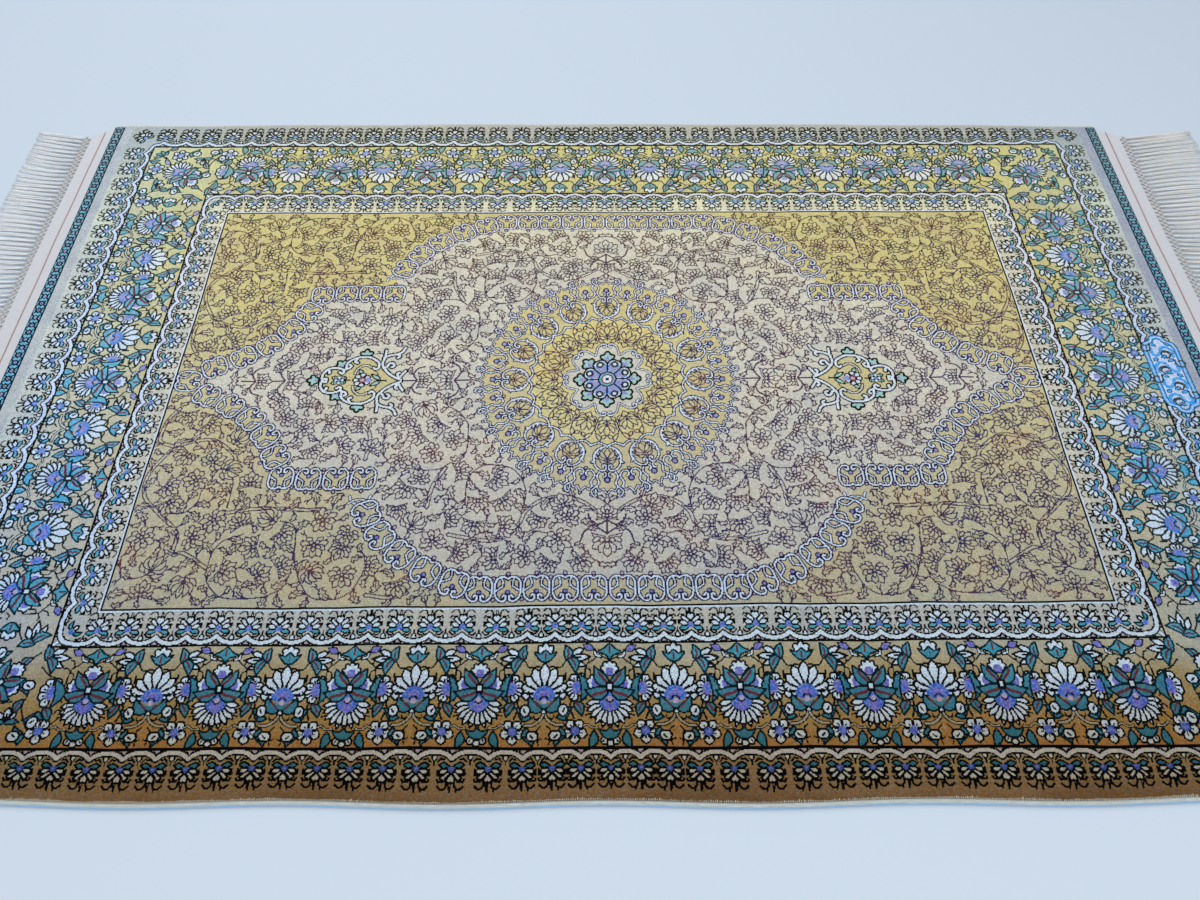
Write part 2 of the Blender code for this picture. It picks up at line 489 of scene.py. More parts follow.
def draw_fan_flower(p: Place) -> None:
    """The border's fan flower: nine white petals over a violet half disc in a teal calyx."""
    reach = (34.0, 31.0, 28.0, 25.5, 23.0)
    for k in (4, 3, 2, 1, 0):
        for q in p.both() if k else (p,):
            spoke = turned(90.0 - 22.0 * k)
            q.white(blade(-8j + 5.0 * spoke, -8j + reach[k] * spoke, 10.4, 0.0, 1.6))
            q.line([-8j + 9.5 * spoke * turned(-11.0), -8j + 17.0 * spoke * turned(-11.0)], BLACK, 2.0)
    p.fill(np.append(scalloped(-9j, 10.4, -5.0, 185.0, 5, 1.4), [-6-13j, 6-13j]), BLUE)
    p.fill(np.append(scalloped(-9j, 6.4, 10.0, 170.0, 3, 1.2), [-2-10j, 2-10j]), LILAC)
    p.fill(np.array([-9-12j, -4-15j, 4-15j, 9-12j, -24j]), TEAL)
    for q in p.both():
        q.teal(blade(0.6-23.5j, 15.0-7.5j, 10.0, -0.22, 0.85))
        q.line([4.5-19.0j, 9.0-14.5j], RED, 2.2)
    p.fill(ring(-13.5j, 2.8), PINK)
    p.line(arc(-12.5j, 4.1, 20.0, 160.0), BLACK, 1.7)
    p.white(ring(-24j, 2.6))
    for q in p.both():
        q.band(spline([1-27j, 4-32j, 11-36.5j, 19-37.5j]), CREAM, 2.0, BLACK, 1.1)
        for hook in ((5-30j, 9-31j, 10-28j), (3-38j, 7-42j, 5-46j), (12-24j, 17-22j, 20-24j),
                     (19-2j, 23-5j, 27-4j), (2-50j, 6-52j, 5-56j)):
            q.line(spline(hook, steps=3), BLACK, 1.5)
        draw_bud(q.inner(21-30j, 8.0))
        draw_bud(q.inner(19-47.5j, 98.0, flip=True))


def draw_fan_neighbours(p: Place, half_pitch: float) -> None:
    """What grows around a fan flower: rosettes, side flowers, blossoms and a small cup.

    Args:
        p: the fan flower's place.
        half_pitch: how far away the midway to the next palmette is, in mm.
    """
    draw_cup(p.inner(26.5j, size=1.1))
    for q in p.both():
        q.line(spline([21j, 8+22j, 16+21j, 21+28j]), BLACK, 1.5)
        q.line([21+8j, 21.5+15j], BLACK, 2.0)
        draw_blossom(q.inner(22+30j, -90.0))
        draw_lobed_flower(q.inner(half_pitch + 1.0))
        q.line(spline([half_pitch - 5 - 12j, half_pitch - 7 - 20j, half_pitch - 3 - 31j]), BLACK, LINE)
        draw_rosette(q.inner(half_pitch - 2.0 - 43.5j))


# ------------------------------------------------------------------ the main border
@dataclass
class MainBorder:
    """The wide gold border of palmettes between the two guards, sizes in mm."""

    inner_half: complex = 582.0+343.0j
    outer_half: complex = 685.0+449.5j
    motif_line: complex = 629.0+390.0j
    long_pitch: float = 66.1
    short_pitch: float = 70.3
    corner_palmette: complex = 622.0+381.0j
    corner_motifs: tuple[tuple[Callable[[Place], None], complex, float],
        ...] = ((draw_six_petals, 640+429j, 0), (draw_six_petals, 669.5+398.5j, 0),
        (draw_rosette, 567.5+431.5j, 180), (draw_rosette, 671+329j, 90), (draw_bud, 583+436j, -90),
        (draw_bud, 625+435j, 90), (draw_bud, 677+387j, 180), (draw_bud, 677+342j, 0),
        (draw_small_lily, 604+424j, 180), (draw_small_lily, 664+364j, 90), (draw_veined_leaf, 598+413j, 160),
        (draw_veined_leaf, 653+357j, 110), (draw_bud, 575+415j, -20), (draw_bud, 600+386j, 90),
        (draw_bud, 630+357j, 180), (draw_bud, 655+332j, 110), (draw_leaf_cluster, 666+427j, -45),
        (draw_veined_leaf, 659+441j, 45), (draw_veined_leaf, 683+417j, 90), (draw_lilac_bud, 652+409j, -42),
        (draw_veined_leaf, 607+365j, 135), (draw_blossom, 583+356j, 90), (draw_blossom, 602+340j, 180),
        (draw_lobed_flower, 566+392j, 180), (draw_cup, 631+316j, 0), (draw_veined_leaf, 648+316j, -30),)
    corner_vines: tuple[tuple[complex, ...], ...] = ((640+418j, 634+409j, 618+404j, 604+402j),
        (660+398j, 650+392j, 645+380j, 645+366j), (648+405j, 655+418j, 661+425j),
        (590+350j, 606+362j, 612+372j), (578+432j, 584+424j, 592+408j, 590+396j),
        (672+340j, 664+348j, 650+352j, 640+350j), (612+338j, 618+330j, 622+318j),
        (584+366j, 574+374j, 560+378j), (668+316j, 660+308j, 648+304j), (556+424j, 548+414j, 546+400j),)

    def draw(self, chart: Chart) -> None:
        """Draw a quarter of the border."""
        chart.fill(quarter_frame(self.outer_half), GOLD)
        sides = ((lambda k: self.long_pitch * k + 1j * self.motif_line.imag, turned(180.0), self.long_pitch,
            8), (lambda k: self.motif_line.real + 1j * self.short_pitch * k, turned(90.0), self.short_pitch,
            4),)
        for spot, turn, pitch, last in sides:
            places = [(k % 2 == 0, Place(chart, complex(spot(k)), turn)) for k in range(-1, last + 1)]
            for is_palmette, p in places:
                if is_palmette:
                    draw_palmette_neighbours(p)
                else:
                    draw_fan_neighbours(p, 0.5 * pitch)
            for is_palmette, p in places:
                if is_palmette:
                    draw_great_palmette(p)
                else:
                    draw_fan_flower(p)
        for vine in self.corner_vines:
            Place(chart).line(spline(vine), BLACK, 1.6)
        for motif, spot, heading in self.corner_motifs:
            motif(Place(chart, spot, turned(heading), 1.06))
        draw_great_palmette(Place(chart, self.corner_palmette, turned(135.0), 0.97), foot=False)


def quarter_frame(half: complex) -> np.ndarray:
    """The outline of the chart's quarter up to a corner."""
    return np.array([0j, half.real + 0j, half, 1j * half.imag]) - (1+1j)


# ------------------------------------------------------------------ guards
def draw_sprig(p: Place, line: float = 2.3) -> None:
    """A guard's sprig: a blue heart over two teal leaves, then white petals that end in
    dark hooks. It stands 24 mm high, and its heart is at its place."""
    for q in p.both():
        q.line(spline([3.4+12j, 4.6+17.2j, 8.4+19.2j, 12.2+16.2j], steps=3), OLIVE, line)
        q.fill(np.array([0.8+4.4j, 3.8+2.4j, 10.6+8.6j, 6.8+11.0j]), WHITE, OLIVE, 0.87 * line)
        q.line([6.4+11.4j, 9.6+11.4j, 11.8+12.4j, 13.2+9.8j], OLIVE, line)
        q.fill(blade(2.6+0.9j, 12.4+3.6j, 5.6), WHITE, OLIVE, 0.87 * line)
        q.line([10.0+5.6j, 13.2+5.4j, 12.8+1.4j], OLIVE, line)
        q.fill(blade(1.6-2.2j, 12.4-3.8j, 5.4, 0.0, 1.2), TEAL, OLIVE, 0.87 * line)
    p.fill(mirrored([4.6j, 3.8+8.6j, 4.0+13.4j]), WHITE, OLIVE, 0.87 * line)
    for x in (-2.8, 0.0, 2.8):
        p.line([x + 12j, 1.15 * x + 21j - abs(x)], OLIVE, 0.7 * line)
    p.fill(mirrored([3.9-2.4j, 2.4+2.2j, 3.8j]), BLUE)
    p.fill(ring(-0.2j, 1.4), LILAC)


def draw_guard_bud(p: Place) -> None:
    """The white bud that hangs from the middle of an arc, with dark shoots beside it."""
    for q in p.both():
        q.line([1.5+0j, 7.5+0j], OLIVE, 2.0)
        q.line([3.5+6.8j, 6.5+3.6j, 10+4.6j], OLIVE, 2.0)
    p.fill(mirrored([2.6+0j, 2.2+3.6j, 6.5j]), WHITE, OLIVE, 1.6)
    p.line([6j, 9.5j], OLIVE, 1.7)


@dataclass
class Guard:
    """A cream guard: a row of sprigs behind a white scalloped band, sizes in mm.

    The band's cusps point away from the main border, and a sprig grows from each. The
    corner's turn is given from the border's own corner, in the direction of the guard.
    """

    line_half: complex
    away: int
    long_spots: tuple[float, ...]
    short_spots: tuple[float, ...]
    corner_turn: tuple[complex, ...]
    gap: float = 3.4
    cusp_depth: float = 6.6
    band_width: float = 4.0
    bud_gap: float = 2.8
    heart_gap: float = 18.6
    long_line: float = 2.3
    short_line: float = 1.7

    def sides(self) -> tuple[tuple[tuple[float, ...], Callable, float, float], ...]:
        """The two sides: their sprigs' places, the chart's point for a place and a depth, the
        turn of what grows towards the field, and the width of the sprigs' lines."""
        corner = self.line_half
        return ((self.long_spots, lambda s, v: s + 1j * (corner.imag + v), 180.0, self.long_line),
            (self.short_spots, lambda s, v: (corner.real + v) + 1j * s, 90.0, self.short_line),)

    def draw(self, chart: Chart) -> None:
        """Draw a quarter of the guard: the long side, the short side and the corner."""
        for spots, at, turn, line in self.sides():
            growth = turned(turn if self.away < 0 else turn + 180.0)
            for s in 0.5 * (np.array(spots[1:]) + np.array(spots[:-1])):
                draw_guard_bud(Place(chart, complex(at(s, self.away * (self.gap + self.bud_gap))), growth))
            for s in spots:
                draw_sprig(Place(chart, complex(at(s, self.away * self.heart_gap)), growth), line)
        self.draw_corner(Place(chart, self.line_half, turned(135.0 if self.away < 0 else -45.0)))
        self.draw_band(Place(chart))

    def draw_corner(self, p: Place) -> None:
        """The corner: a whole sprig outside, a quarter flower and a small tongue inside."""
        if self.away > 0:
            draw_sprig(p.inner(27j, size=0.95))
            return
        p.band([1.5j, 13j], WHITE, 3.6, OLIVE)
        for q in p.both():
            q.fill(ring(7.6+10j, 1.9), PINK, OLIVE)
            draw_leaf(q, 3+23j, 8.5+31j, 4.6, -0.1)
        p.fill(blade(24j, 33j, 4.8, 0.0, 1.2), WHITE, OLIVE)
        p.fill(ring(23j, 3.2), BLUE)
        for q in p.both():
            draw_guard_bud(q.inner(18.5+25.5j, 45.0, 0.8))

    def draw_band(self, p: Place) -> None:
        """The scalloped band and the dark line that bounds the main border.

        Between two cusps the band's middle lies cusp_depth * |2t - 1| ** 2.6 away from
        its flat part, so that an arc is flat in its middle and steep at a cusp.
        """
        t = np.linspace(0.0, 1.0, 13)[:-1]
        bow = self.gap + self.cusp_depth * np.abs(2.0 * t - 1.0) ** 2.6
        edges = []
        for spots, place, _, _ in self.sides():
            stops = np.array([-spots[1], *spots])
            along = (stops[:-1, None] + np.diff(stops)[:, None] * t).ravel()
            edges.append(place(along, self.away * np.tile(bow, len(spots))))
            for s in spots:
                tip = place(np.array([s - 4.0, s, s + 4.0]), self.away * np.array([1.0, 6.0, 1.0]))
                p.fill(tip, PINK, OLIVE, 1.1)
        turn = spline([self.line_half + z for z in self.corner_turn])
        p.band(np.concatenate([edges[0], turn, edges[1][::-1]]), ICE, self.band_width, OLIVE, 1.6)
        corner = self.line_half
        p.line([-2 + 1j * corner.imag, corner, corner.real - 2j], OLIVE, 2.3)


def sprig_spots(count: int, pitch: float, squeeze: float, stretch: float = 0.0) -> tuple[float, ...]:
    """Sprig places from a side's middle to its corner, in mm.

    Args:
        count: how many sprigs there are.
        pitch: their even spacing.
        squeeze: how far the ones about 100 mm out are drawn towards the middle.
        stretch: how much longer, as a share, the row is at its last sprig.

    Returns:
        The places: pitch * k, less squeeze times a bell around 100 mm, stretched at the end.
    """
    k = np.arange(count)
    even = pitch * k * (1.0 + stretch * (k / 21.0) ** 6)
    return tuple((even - squeeze * np.exp(-(((even - 100.0) / 60.0) ** 2))).tolist())


# ------------------------------------------------------------------ the field
@dataclass(frozen=True)
class LineDrawing:
    """The field's drawing: flowers, leaves and vines in one dark line on the ground."""

    chart: Chart
    ground: np.ndarray
    yarn: Yarn = MAUVE
    line: float = 1.3
    leaf_gap: float = 27.0

    def under(self, spot: complex) -> Yarn:
        """The ground's yarn at a spot."""
        rows, columns = self.ground.shape
        row = min(max(int(spot.imag), 0), rows - 1)
        return Yarn(int(self.ground[row, min(max(int(spot.real), 0), columns - 1)]))

    def peony(self, p: Place, petals: int = 7, spread: float = 84.0) -> None:
        """An open peony, 32 mm across: two rows of broad petals that overlap, spread degrees
        to each side, over two sepals."""
        ground = self.under(p.at)
        for q in p.both():
            q.fill(blade(1-3j, 14-6.5j, 5.0, 0.2, 0.9), ground, self.yarn, self.line)
        for count, reach, wide in ((petals, 16.4, 7.8), (petals - 4, 9.0, 4.8)):
            middle = 0.5 * (count - 1)
            for k in sorted(range(count), key=lambda k: -abs(k - middle)):
                out = (k - middle) / middle
                spoke = turned(90.0 - spread * out)
                long = reach * (1.0 - 0.12 * abs(out) + (0.07 if k % 2 else -0.07))
                petal = blade(0.12 * reach * spoke, long * spoke, wide, 0.0, 1.3)
                p.fill(petal, ground, self.yarn, self.line)
        p.fill(ring(0.3j, 1.9, steps=8), ground, self.yarn, 1.1)

    def lotus(self, p: Place) -> None:
        """A lotus from the side, 28 mm across: pointed petals in pairs over a cup."""
        ground = self.under(p.at)
        for base, tip, wide in ((-5j, 15-1j, 6.0), (-4j, 12+9j, 7.0), (-3j, 6+13j, 6.4)):
            for q in p.both():
                q.fill(blade(base, tip, wide, -0.2, 1.1), ground, self.yarn, self.line)
        p.fill(blade(-3j, 15j, 7.0, 0.0, 1.2), ground, self.yarn, self.line)
        p.line([1j, 8j], self.yarn, 1.1)
        for q in p.both():
            q.fill(blade(-9j, 7-4j, 4.0, 0.1), ground, self.yarn, self.line)

    def leaf(self, p: Place, long: float, wide: float, teeth: int = 3, bend: float = 0.16) -> None:
        """A leaf with teeth that lean to its tip, on a rib that bows by bend."""
        k = np.arange(teeth)
        half = 0.5 * wide * np.sin(np.pi * (k + 0.8) / (teeth + 0.9))
        spots = []
        for side, shift in ((1.0, 0.0), (-1.0, 0.06)):
            out = side * half + 1j * ((k + 0.95) / (teeth + 0.5) + shift)
            notch = side * 0.42 * half + 1j * ((k + 0.80) / (teeth + 0.5) + shift)
            spots.append(np.stack([notch, out], axis=1).ravel())
        outline = np.concatenate([[0j], spots[0], [1j], spots[1][::-1]])
        height = outline.imag
        bowed = outline.real + 4.0 * bend * long * height * (1.0 - height) + 1j * long * height
        p.fill(bowed, self.under(complex(p.put(0.5j * long))), self.yarn, self.line)
        t = np.linspace(-0.1, 0.7 if long > 14.0 else 0.35, 5)
        p.line(4.0 * bend * long * t * (1.0 - t) + 1j * long * t, self.yarn, 1.1)

    def vine(self, points: Sequence[complex], wide: bool = False) -> None:
        """A curving stem with a leaf every leaf_gap, on alternate sides; a wide one is drawn as
        two lines."""
        stem = spline(points, steps=8)
        if wide:
            Place(self.chart).band(stem, self.under(complex(stem[len(stem) // 2])), 2.8, self.yarn, 1.2)
        else:
            self.chart.stroke(stem, self.line, self.yarn)
        far = np.concatenate([[0.0], np.cumsum(np.abs(np.diff(stem)))])
        side = 1.0
        for reach in np.arange(13.0, far[-1] - 8.0, self.leaf_gap):
            k = int(np.searchsorted(far, reach))
            along = (stem[k] - stem[k - 1]) / abs(stem[k] - stem[k - 1])
            shoot = Place(self.chart, complex(stem[k]), along * turned(-90.0 + 48.0 * side), flip=side < 0)
            self.leaf(shoot, 20.0, 11.0)
            side = -side

    def fill_gaps(self, smallest: float, kept: Sequence[tuple[complex, float]]) -> None:
        """Grow a leaf, a flower or a shoot into each gap that is left, except within the
        circles that are kept, each a middle and a radius.

        A round looks at a grid of spots, 3 mm apart, and sorts them by how far they are
        from any line. What grows there starts at the nearest line and points away from
        it, as long as the gap is wide.
        """
        rows, columns = self.ground.shape
        plain = (int(CREAM), int(GOLD))
        grid = [complex(x, y) for x in range(3, columns - 2, 3) for y in range(3, rows - 2, 3)
                if self.ground[y, x] in plain and all(abs(complex(x, y) - z) > r for z, r in kept)]
        for least in (10.0, 7.0, smallest):
            ys, xs = np.nonzero(~np.isin(self.chart.knots, plain))
            edge = [complex(x, rows + 1) for x in range(0, columns, 3)]
            edge += [complex(columns + 1, y) for y in range(0, rows, 3)]
            lines = KDTree(len(xs) + len(edge))
            for k, (x, y) in enumerate(zip(xs.tolist(), ys.tolist())):
                lines.insert((x, y, 0.0), k)
            for z in edge:
                lines.insert((z.real, z.imag, 0.0), 0)
            lines.balance()
            gaps = []
            for z in grid:
                near, _, room = lines.find((z.real, z.imag, 0.0))
                room = min(room, 1.5 + z.real, 1.5 + z.imag)
                if room > least:
                    gaps.append((-round(room, 2), z.real, z.imag, near[0], near[1]))
            taken: list[tuple[complex, float]] = []
            for room, x, y, root_x, root_y in sorted(gaps):
                spot, room = complex(x, y), -room
                if any(abs(spot - other) < 1.15 * (room + wide) for other, wide in taken):
                    continue
                taken.append((spot, room))
                self.grow(spot, complex(root_x, root_y), room)

    def grow(self, spot: complex, root: complex, room: float) -> None:
        """Grow what suits a gap of a given half width, from its root to its far side."""
        way = (spot - root) / max(abs(spot - root), 1e-6)
        odd = int(spot.real + 2 * spot.imag) % 2 == 1
        if room > 12.0:
            self.peony(Place(self.chart, spot, way / 1j, min(1.0, room / 14.0)), 7 + 2 * odd,
                84.0 + 50.0 * odd)
            return
        foot = spot - way * min(0.85 * room, abs(spot - root))
        p = Place(self.chart, foot, way / 1j, flip=odd)
        if room > 6.0:
            self.leaf(p, 1.85 * room, 1.1 * room, 3 if room > 8.0 else 2)
        else:
            p.line(spline([0j, 1.0 + 0.8j * room, -0.5 + 1.5j * room]), self.yarn, self.line)
            p.line(spline([0.8 + 0.6j * room, 3.0 + 0.8j * room, 4.2 + 1.3j * room]), self.yarn, self.line)


@dataclass
class OuterMedallion:
    """The large cream medallion, its chain of loops and the vines on both grounds, in mm."""

    loop_radius: float = 14.0
    longest_step: float = 45.0
    bead_gap: float = 12.4
    flower_spots: tuple[tuple[float, float, float], ...] = ((223, 42, 20), (185, 90, 120), (226, 82, -60),
        (245, 118, 30), (282, 104, 160), (130, 146, 60), (148, 174, 0), (180, 196, 100), (219, 202, 150),
        (234, 156, -30), (118, 208, 90), (50, 182, 200), (55, 224, 20), (92, 243, -50), (168, 238, 70),
        (300, 68, -90), (338, 66, 90), (368, 38, 180), (404, 31, -45), (352, 104, 30), (230, 276, 20),
        (264, 254, 90), (296, 232, -20), (324, 261, 60), (360, 254, 120), (394, 230, -80), (423, 259, 70),
        (462, 275, -10), (499, 254, 150), (522, 217, 30), (322, 197, 80), (382, 195, -120), (446, 197, 30),
        (478, 145, -60), (502, 174, 40), (442, 131, 80), (498, 110, -30), (442, 87, 150), (482, 66, 60),
        (513, 51, 0),)
    vines: tuple[tuple[complex, ...], ...] = ((2+198j, 26+178j, 50+170j, 74+174j, 92+188j, 99+204j, 112+219j,
        132+225j, 160+220j, 178+216j), (98+192j, 94+162j, 110+134j, 138+126j, 156+134j, 163+152j, 162+180j),
        (168+68j, 168+108j, 184+122j, 200+132j, 226+131j, 248+126j, 266+112j, 268+92j, 258+80j, 244+76j),
        (190+130j, 202+154j, 206+182j), (168+68j, 180+50j, 198+36j, 190+22j),
        (64+218j, 82+214j, 88+224j, 96+236j), (286+118j, 284+92j, 292+72j, 320+56j),
        (392+14j, 372+22j, 352+36j, 350+52j), (440+256j, 438+236j, 428+222j, 408+214j),
        (440+256j, 470+238j, 482+238j, 484+212j, 510+188j, 532+166j, 536+138j, 524+112j, 512+98j, 488+90j,
        468+90j, 444+108j, 436+122j), (512+186j, 484+188j, 470+174j, 468+158j),
        (434+182j, 434+150j, 440+140j), (434+188j, 398+182j, 350+184j, 322+184j),
        (348+224j, 350+270j, 366+286j, 390+291j, 418+289j, 436+272j, 440+256j),
        (270+266j, 278+282j, 294+292j, 320+290j, 336+270j, 346+244j, 352+206j, 370+198j),
        (518+98j, 536+88j, 534+60j, 524+42j), (488+96j, 500+88j, 516+92j),
        (486+240j, 504+262j, 530+264j, 538+240j), (218+286j, 236+292j, 262+288j),)

    def loops(self) -> list[tuple[complex, complex]]:
        """Each loop's middle and the direction of its open side, in order along the chain."""
        row = [(15.6 + 31.1 * k + 282j, 1j) for k in range(5)]
        arch = [(168+275j, 0.35+1j), (200+261j, 0.5+1j), (230+241j, 0.7+0.9j),
                (255+217.5j, 0.9+0.6j), (274+190.5j, 1+0.4j)]
        shelf = [(284+144.5j, -1j), (316+144.5j, -1j), (348+144.5j, -1j), (380+142j, -1j)]
        slope = [(393+112j, -1-0.6j), (411+83j, -1-0.9j), (434+57j, -0.9-1j),
                 (463+38j, -0.7-1j), (496+22j, -0.5-1j), (524+0j, -1+0j)]
        return [(middle, way / abs(way)) for middle, way in row + arch + shelf + slope]

    def outline(self) -> np.ndarray:
        """The medallion's edge: the line through the loops' middles."""
        middles = [middle for middle, _ in self.loops()]
        middles.insert(10, 283+166j)
        return np.array([-20+282j, *middles, 524-20j, -20-20j])

    def draw(self, chart: Chart) -> LineDrawing:
        """Draw the cream ground, the vines and flowers, and then the chain."""
        chart.fill(self.outline(), CREAM)
        drawing = LineDrawing(chart, chart.knots.copy())
        for k, vine in enumerate(self.vines):
            drawing.vine(vine, wide=k % 3 == 0)
        for x, y, heading in self.flower_spots:
            p = Place(chart, complex(x, y), turned(heading), 0.92 + 0.05 * (x % 4))
            if (x + y) % 4 == 1:
                drawing.lotus(p)
            else:
                drawing.peony(p, *((9, 144.0) if (x + y) % 2 else (7, 84.0)))
        for spot, turn, size in ((198+0j, -90.0, 1.15), (232+0j, 90.0, 0.9), (396+0j, 90.0, 1.15),
                                 (434+0j, 90.0, 0.9), (224j, 0.0, 1.25), (194j, 180.0, 0.9)):
            p = Place(chart, spot, turned(turn), size)
            for q in p.both():
                q.line(spline([-6j, 10-12j, 20-8j, 24+2j]), MAUVE)
                drawing.leaf(q.inner(10-12j, -115.0), 15.0, 9.0)
            p.line([-8j, -26j], MAUVE)
            drawing.peony(p)
        self.draw_chain(chart)
        return drawing

    def draw_chain(self, chart: Chart) -> None:
        """The chain of loops along the medallion's edge, with beads between them."""
        loops = self.loops()
        sizes = [1.0 if way.real == 0.0 else 1.07 for _, way in loops]
        for (middle, _), size in zip(loops, sizes):
            chart.fill(ring(middle, size * (self.loop_radius + 1.5), steps=24), GOLD)
        for (a, _), (b, _) in zip(loops[:-1], loops[1:]):
            if abs(b - a) < self.longest_step:
                across = 1j * (b - a) / abs(b - a)
                for side in (-1.0, 1.0):
                    bead = 0.5 * (a + b) + side * self.bead_gap * across
                    Place(chart, bead).fill(ring(0j, 2.0), PINK, VIOLET, 1.2)
        half = Place(chart, 284+167j)
        half.band(arc(0j, 12.0, 5.0, 175.0, 9), ICE, 2.2, VIOLET, 1.0)
        half.band(spline([-12+10j, -4+6j, 4+6j, 12+10j]), ICE, 1.8, VIOLET, 1.0)
        for (middle, way), size in zip(loops, sizes):
            self.draw_loop(Place(chart, middle, way / 1j, size))

    def draw_loop(self, p: Place) -> None:
        """One loop: a pale band, notched at its foot and open at its top, whose ends curl in
        under a violet drop, and two bowed bands that leave a vase of gold between them."""
        edge = (-11.6j, 3.4-13.8j, 8-14j, 11.8-11.4j, 13.7-7j, 13.8+5j, 12.4+9.5j, 8.8+13.4j,
                4.4+14j, 2+12j, 2+8j, 4.2+7j, 5.6+9j)
        neck = (6.9-12.5j, 5.2-8j, 5.6-3j, 9-0.6j, 13.2+2j)
        draw_ribbons(p, 2.8, ((neck, 1.5), (edge, 1.9)))
        p.fill(ring(3.6j, 2.5), LILAC, VIOLET, 1.3)
        p.fill(ring(-17.4j, 2.2), PINK, VIOLET, 1.2)


@dataclass
class CentreMedallion:
    """The round medallion in the middle, drawn as rings of a sixteen-fold star, in mm."""

    stretch: complex = 1.0+1.03j
    eye: float = 2.4
    disc_reach: float = 99.0
    cartouche_line: float = 114.8
    bell_line: float = 143.0

    def spokes(self, chart: Chart, count: int, first: float = 0.0) -> Iterable[Place]:
        """Places around the middle whose stems point outwards, for a quarter and a bit."""
        for k in range(-1, count // 4 + 2):
            yield Place(chart, 0j, turned(first + 360.0 * k / count - 90.0))

    def draw(self, chart: Chart) -> None:
        """Draw the rings from the outermost to the eye, a little taller than wide."""
        chart.stretch = self.stretch
        Place(chart).fill(ring(0j, self.bell_line + 8.0, steps=96), GOLD)
        for p in self.spokes(chart, 32):
            self.draw_bell(p.inner(1j * self.bell_line))
        for p in self.spokes(chart, 32):
            p.fill(ring(1j * self.bell_line + 0.5j, 3.3), LILAC, VIOLET, 1.5)
            p.fill(ring(1j * (self.bell_line - 13.0), 2.0), PINK, VIOLET, 1.3)
            p.fill(ring(1j * (self.bell_line + 20.5), 1.9), PINK, VIOLET, 1.2)
        for p in self.spokes(chart, 16):
            self.draw_cartouche(p.inner(1j * self.cartouche_line))
        self.draw_disc(chart)
        self.draw_star(chart)
        self.draw_rose(chart)
        chart.stretch = 1+1j

    def draw_bell(self, p: Place) -> None:
        """A bell outside the cartouches: its sides curl in under a drop, swell, cross the next
        bell's and part again, and a pointed crown closes its gold."""
        crown = (12-5.5j, 11.5-1j, 9.6+3.5j, 12.4+8.5j, 9.4+14.5j, 4.6+12j, 18.5j)
        side = (4.4-3.4j, 2-4.4j, 1.8-8.5j, 5-11j, 9-10j, 12-5.5j, 11.5-1j, 9.6+3.5j, 11.5+8j,
                15.3+11j, 18.3+14.5j, 17.6+18.5j, 14.6+21.5j, 12.6+19.5j)
        p.fill(mirrored(crown), GOLD)
        draw_ribbons(p, 2.4, ((spline(side, steps=3), 1.6), (crown[3:], 1.2)))

    def draw_cartouche(self, p: Place) -> None:
        """A round cartouche: two leafy crescents that meet at the disc and whose thin outer
        ends curl in beside each other, around a small flower."""
        p.fill(ring(0j, 17.5, steps=20), GOLD)
        low = spline([16.4 * turned(14.0), 14.6+9.5j, 10+15j, 4.4+16.4j, 1.5+13j, 2.4+9j, 5.2+9.4j, 5+11.6j])
        swelling = np.array([1.2, 1.5, 2.0, 2.4, 2.5, 2.4, 2.0, 1.8, 2.2])
        ribbons = [(arc(0j, 16.2, -87.0, 14.0, 9), swelling), (low, 1.7),
                   ([15.5 * turned(10.0), 20.0 * turned(17.0)], np.array([2.8, 0.8]))]
        for degrees in (-62.0, -38.0, -14.0):
            ribbons.append(([15.8 * turned(degrees), 11.2 * turned(degrees + 14.0)], np.array([2.2, 0.7])))
        draw_ribbons(p, 2.6, ribbons)
        self.draw_little_flower(p.inner(-3j, 180.0, 0.92))

    def draw_little_flower(self, p: Place) -> None:
        """A small line-drawn lotus of the centre's own ground, with two leaves on a stem."""
        p.line([-11j, -4j], MAUVE, 1.2)
        for base, tip, wide in ((-9j, 10.5-4j, 4.6), (-5j, 12+2j, 5.0), (-4j, 8.4+8.4j, 5.8)):
            for q in p.both():
                q.fill(blade(base, tip, wide, -0.14, 1.1), GOLD, MAUVE, 1.2)
        p.fill(blade(-4j, 12j, 7.2, 0.0, 1.2), GOLD, MAUVE, 1.2)

    def draw_disc(self, chart: Chart) -> None:
        """The gold disc under the star: flowers, leaves and vines within a scalloped edge."""
        angle = np.linspace(0.0, 2.0 * np.pi, 640, endpoint=False)
        wave = 1.0 - np.abs(np.sin(16.0 * angle)) ** 0.8
        edge = (self.disc_reach - 5.0 + 5.0 * wave) * np.exp(1j * angle)
        Place(chart).fill(edge, GOLD)
        Place(chart).band(edge, ICE, 1.7, VIOLET, 1.3, closed=True)
        for k, p in enumerate(self.spokes(chart, 16)):
            for q in p.both():
                q.line(spline([52j, 6+58j, 12.5+66j, 13.8+78j, 6+88j]), MAUVE, 1.3)
                for base, tip in ((11+63j, 4+57j), (14+80j, 9+92j), (6+88j, 1+83j)):
                    q.fill(blade(base, tip, 4.8, 0.12), GOLD, MAUVE, 1.3)
            self.draw_little_flower(p.inner(72j if k % 2 else 69j))
        from_middle = np.hypot(*np.indices(chart.knots.shape))
        chart.knots[(from_middle < self.disc_reach) & (chart.knots == GOLD)] = HONEY

    def draw_star(self, chart: Chart) -> None:
        """The cream star: eight square-shouldered lobes whose edges end in a pair of volutes."""
        half = (15.2+36.7j, 13.9+41.5j, 13.2+46.5j, 10.8+51j, 7+54j, 2.6+54.4j)
        for p in self.spokes(chart, 8):
            p.fill(mirrored((0j, *half)), CREAM)
        for yarn, extra in ((VIOLET, 2.0), (WHITE, 0.0)):
            for p in self.spokes(chart, 8):
                for q in p.both():
                    q.line(spline([*half, 1.2+51.6j, 3.4+49.2j, 5.4+50.8j], steps=3), yarn, 1.6 + extra)

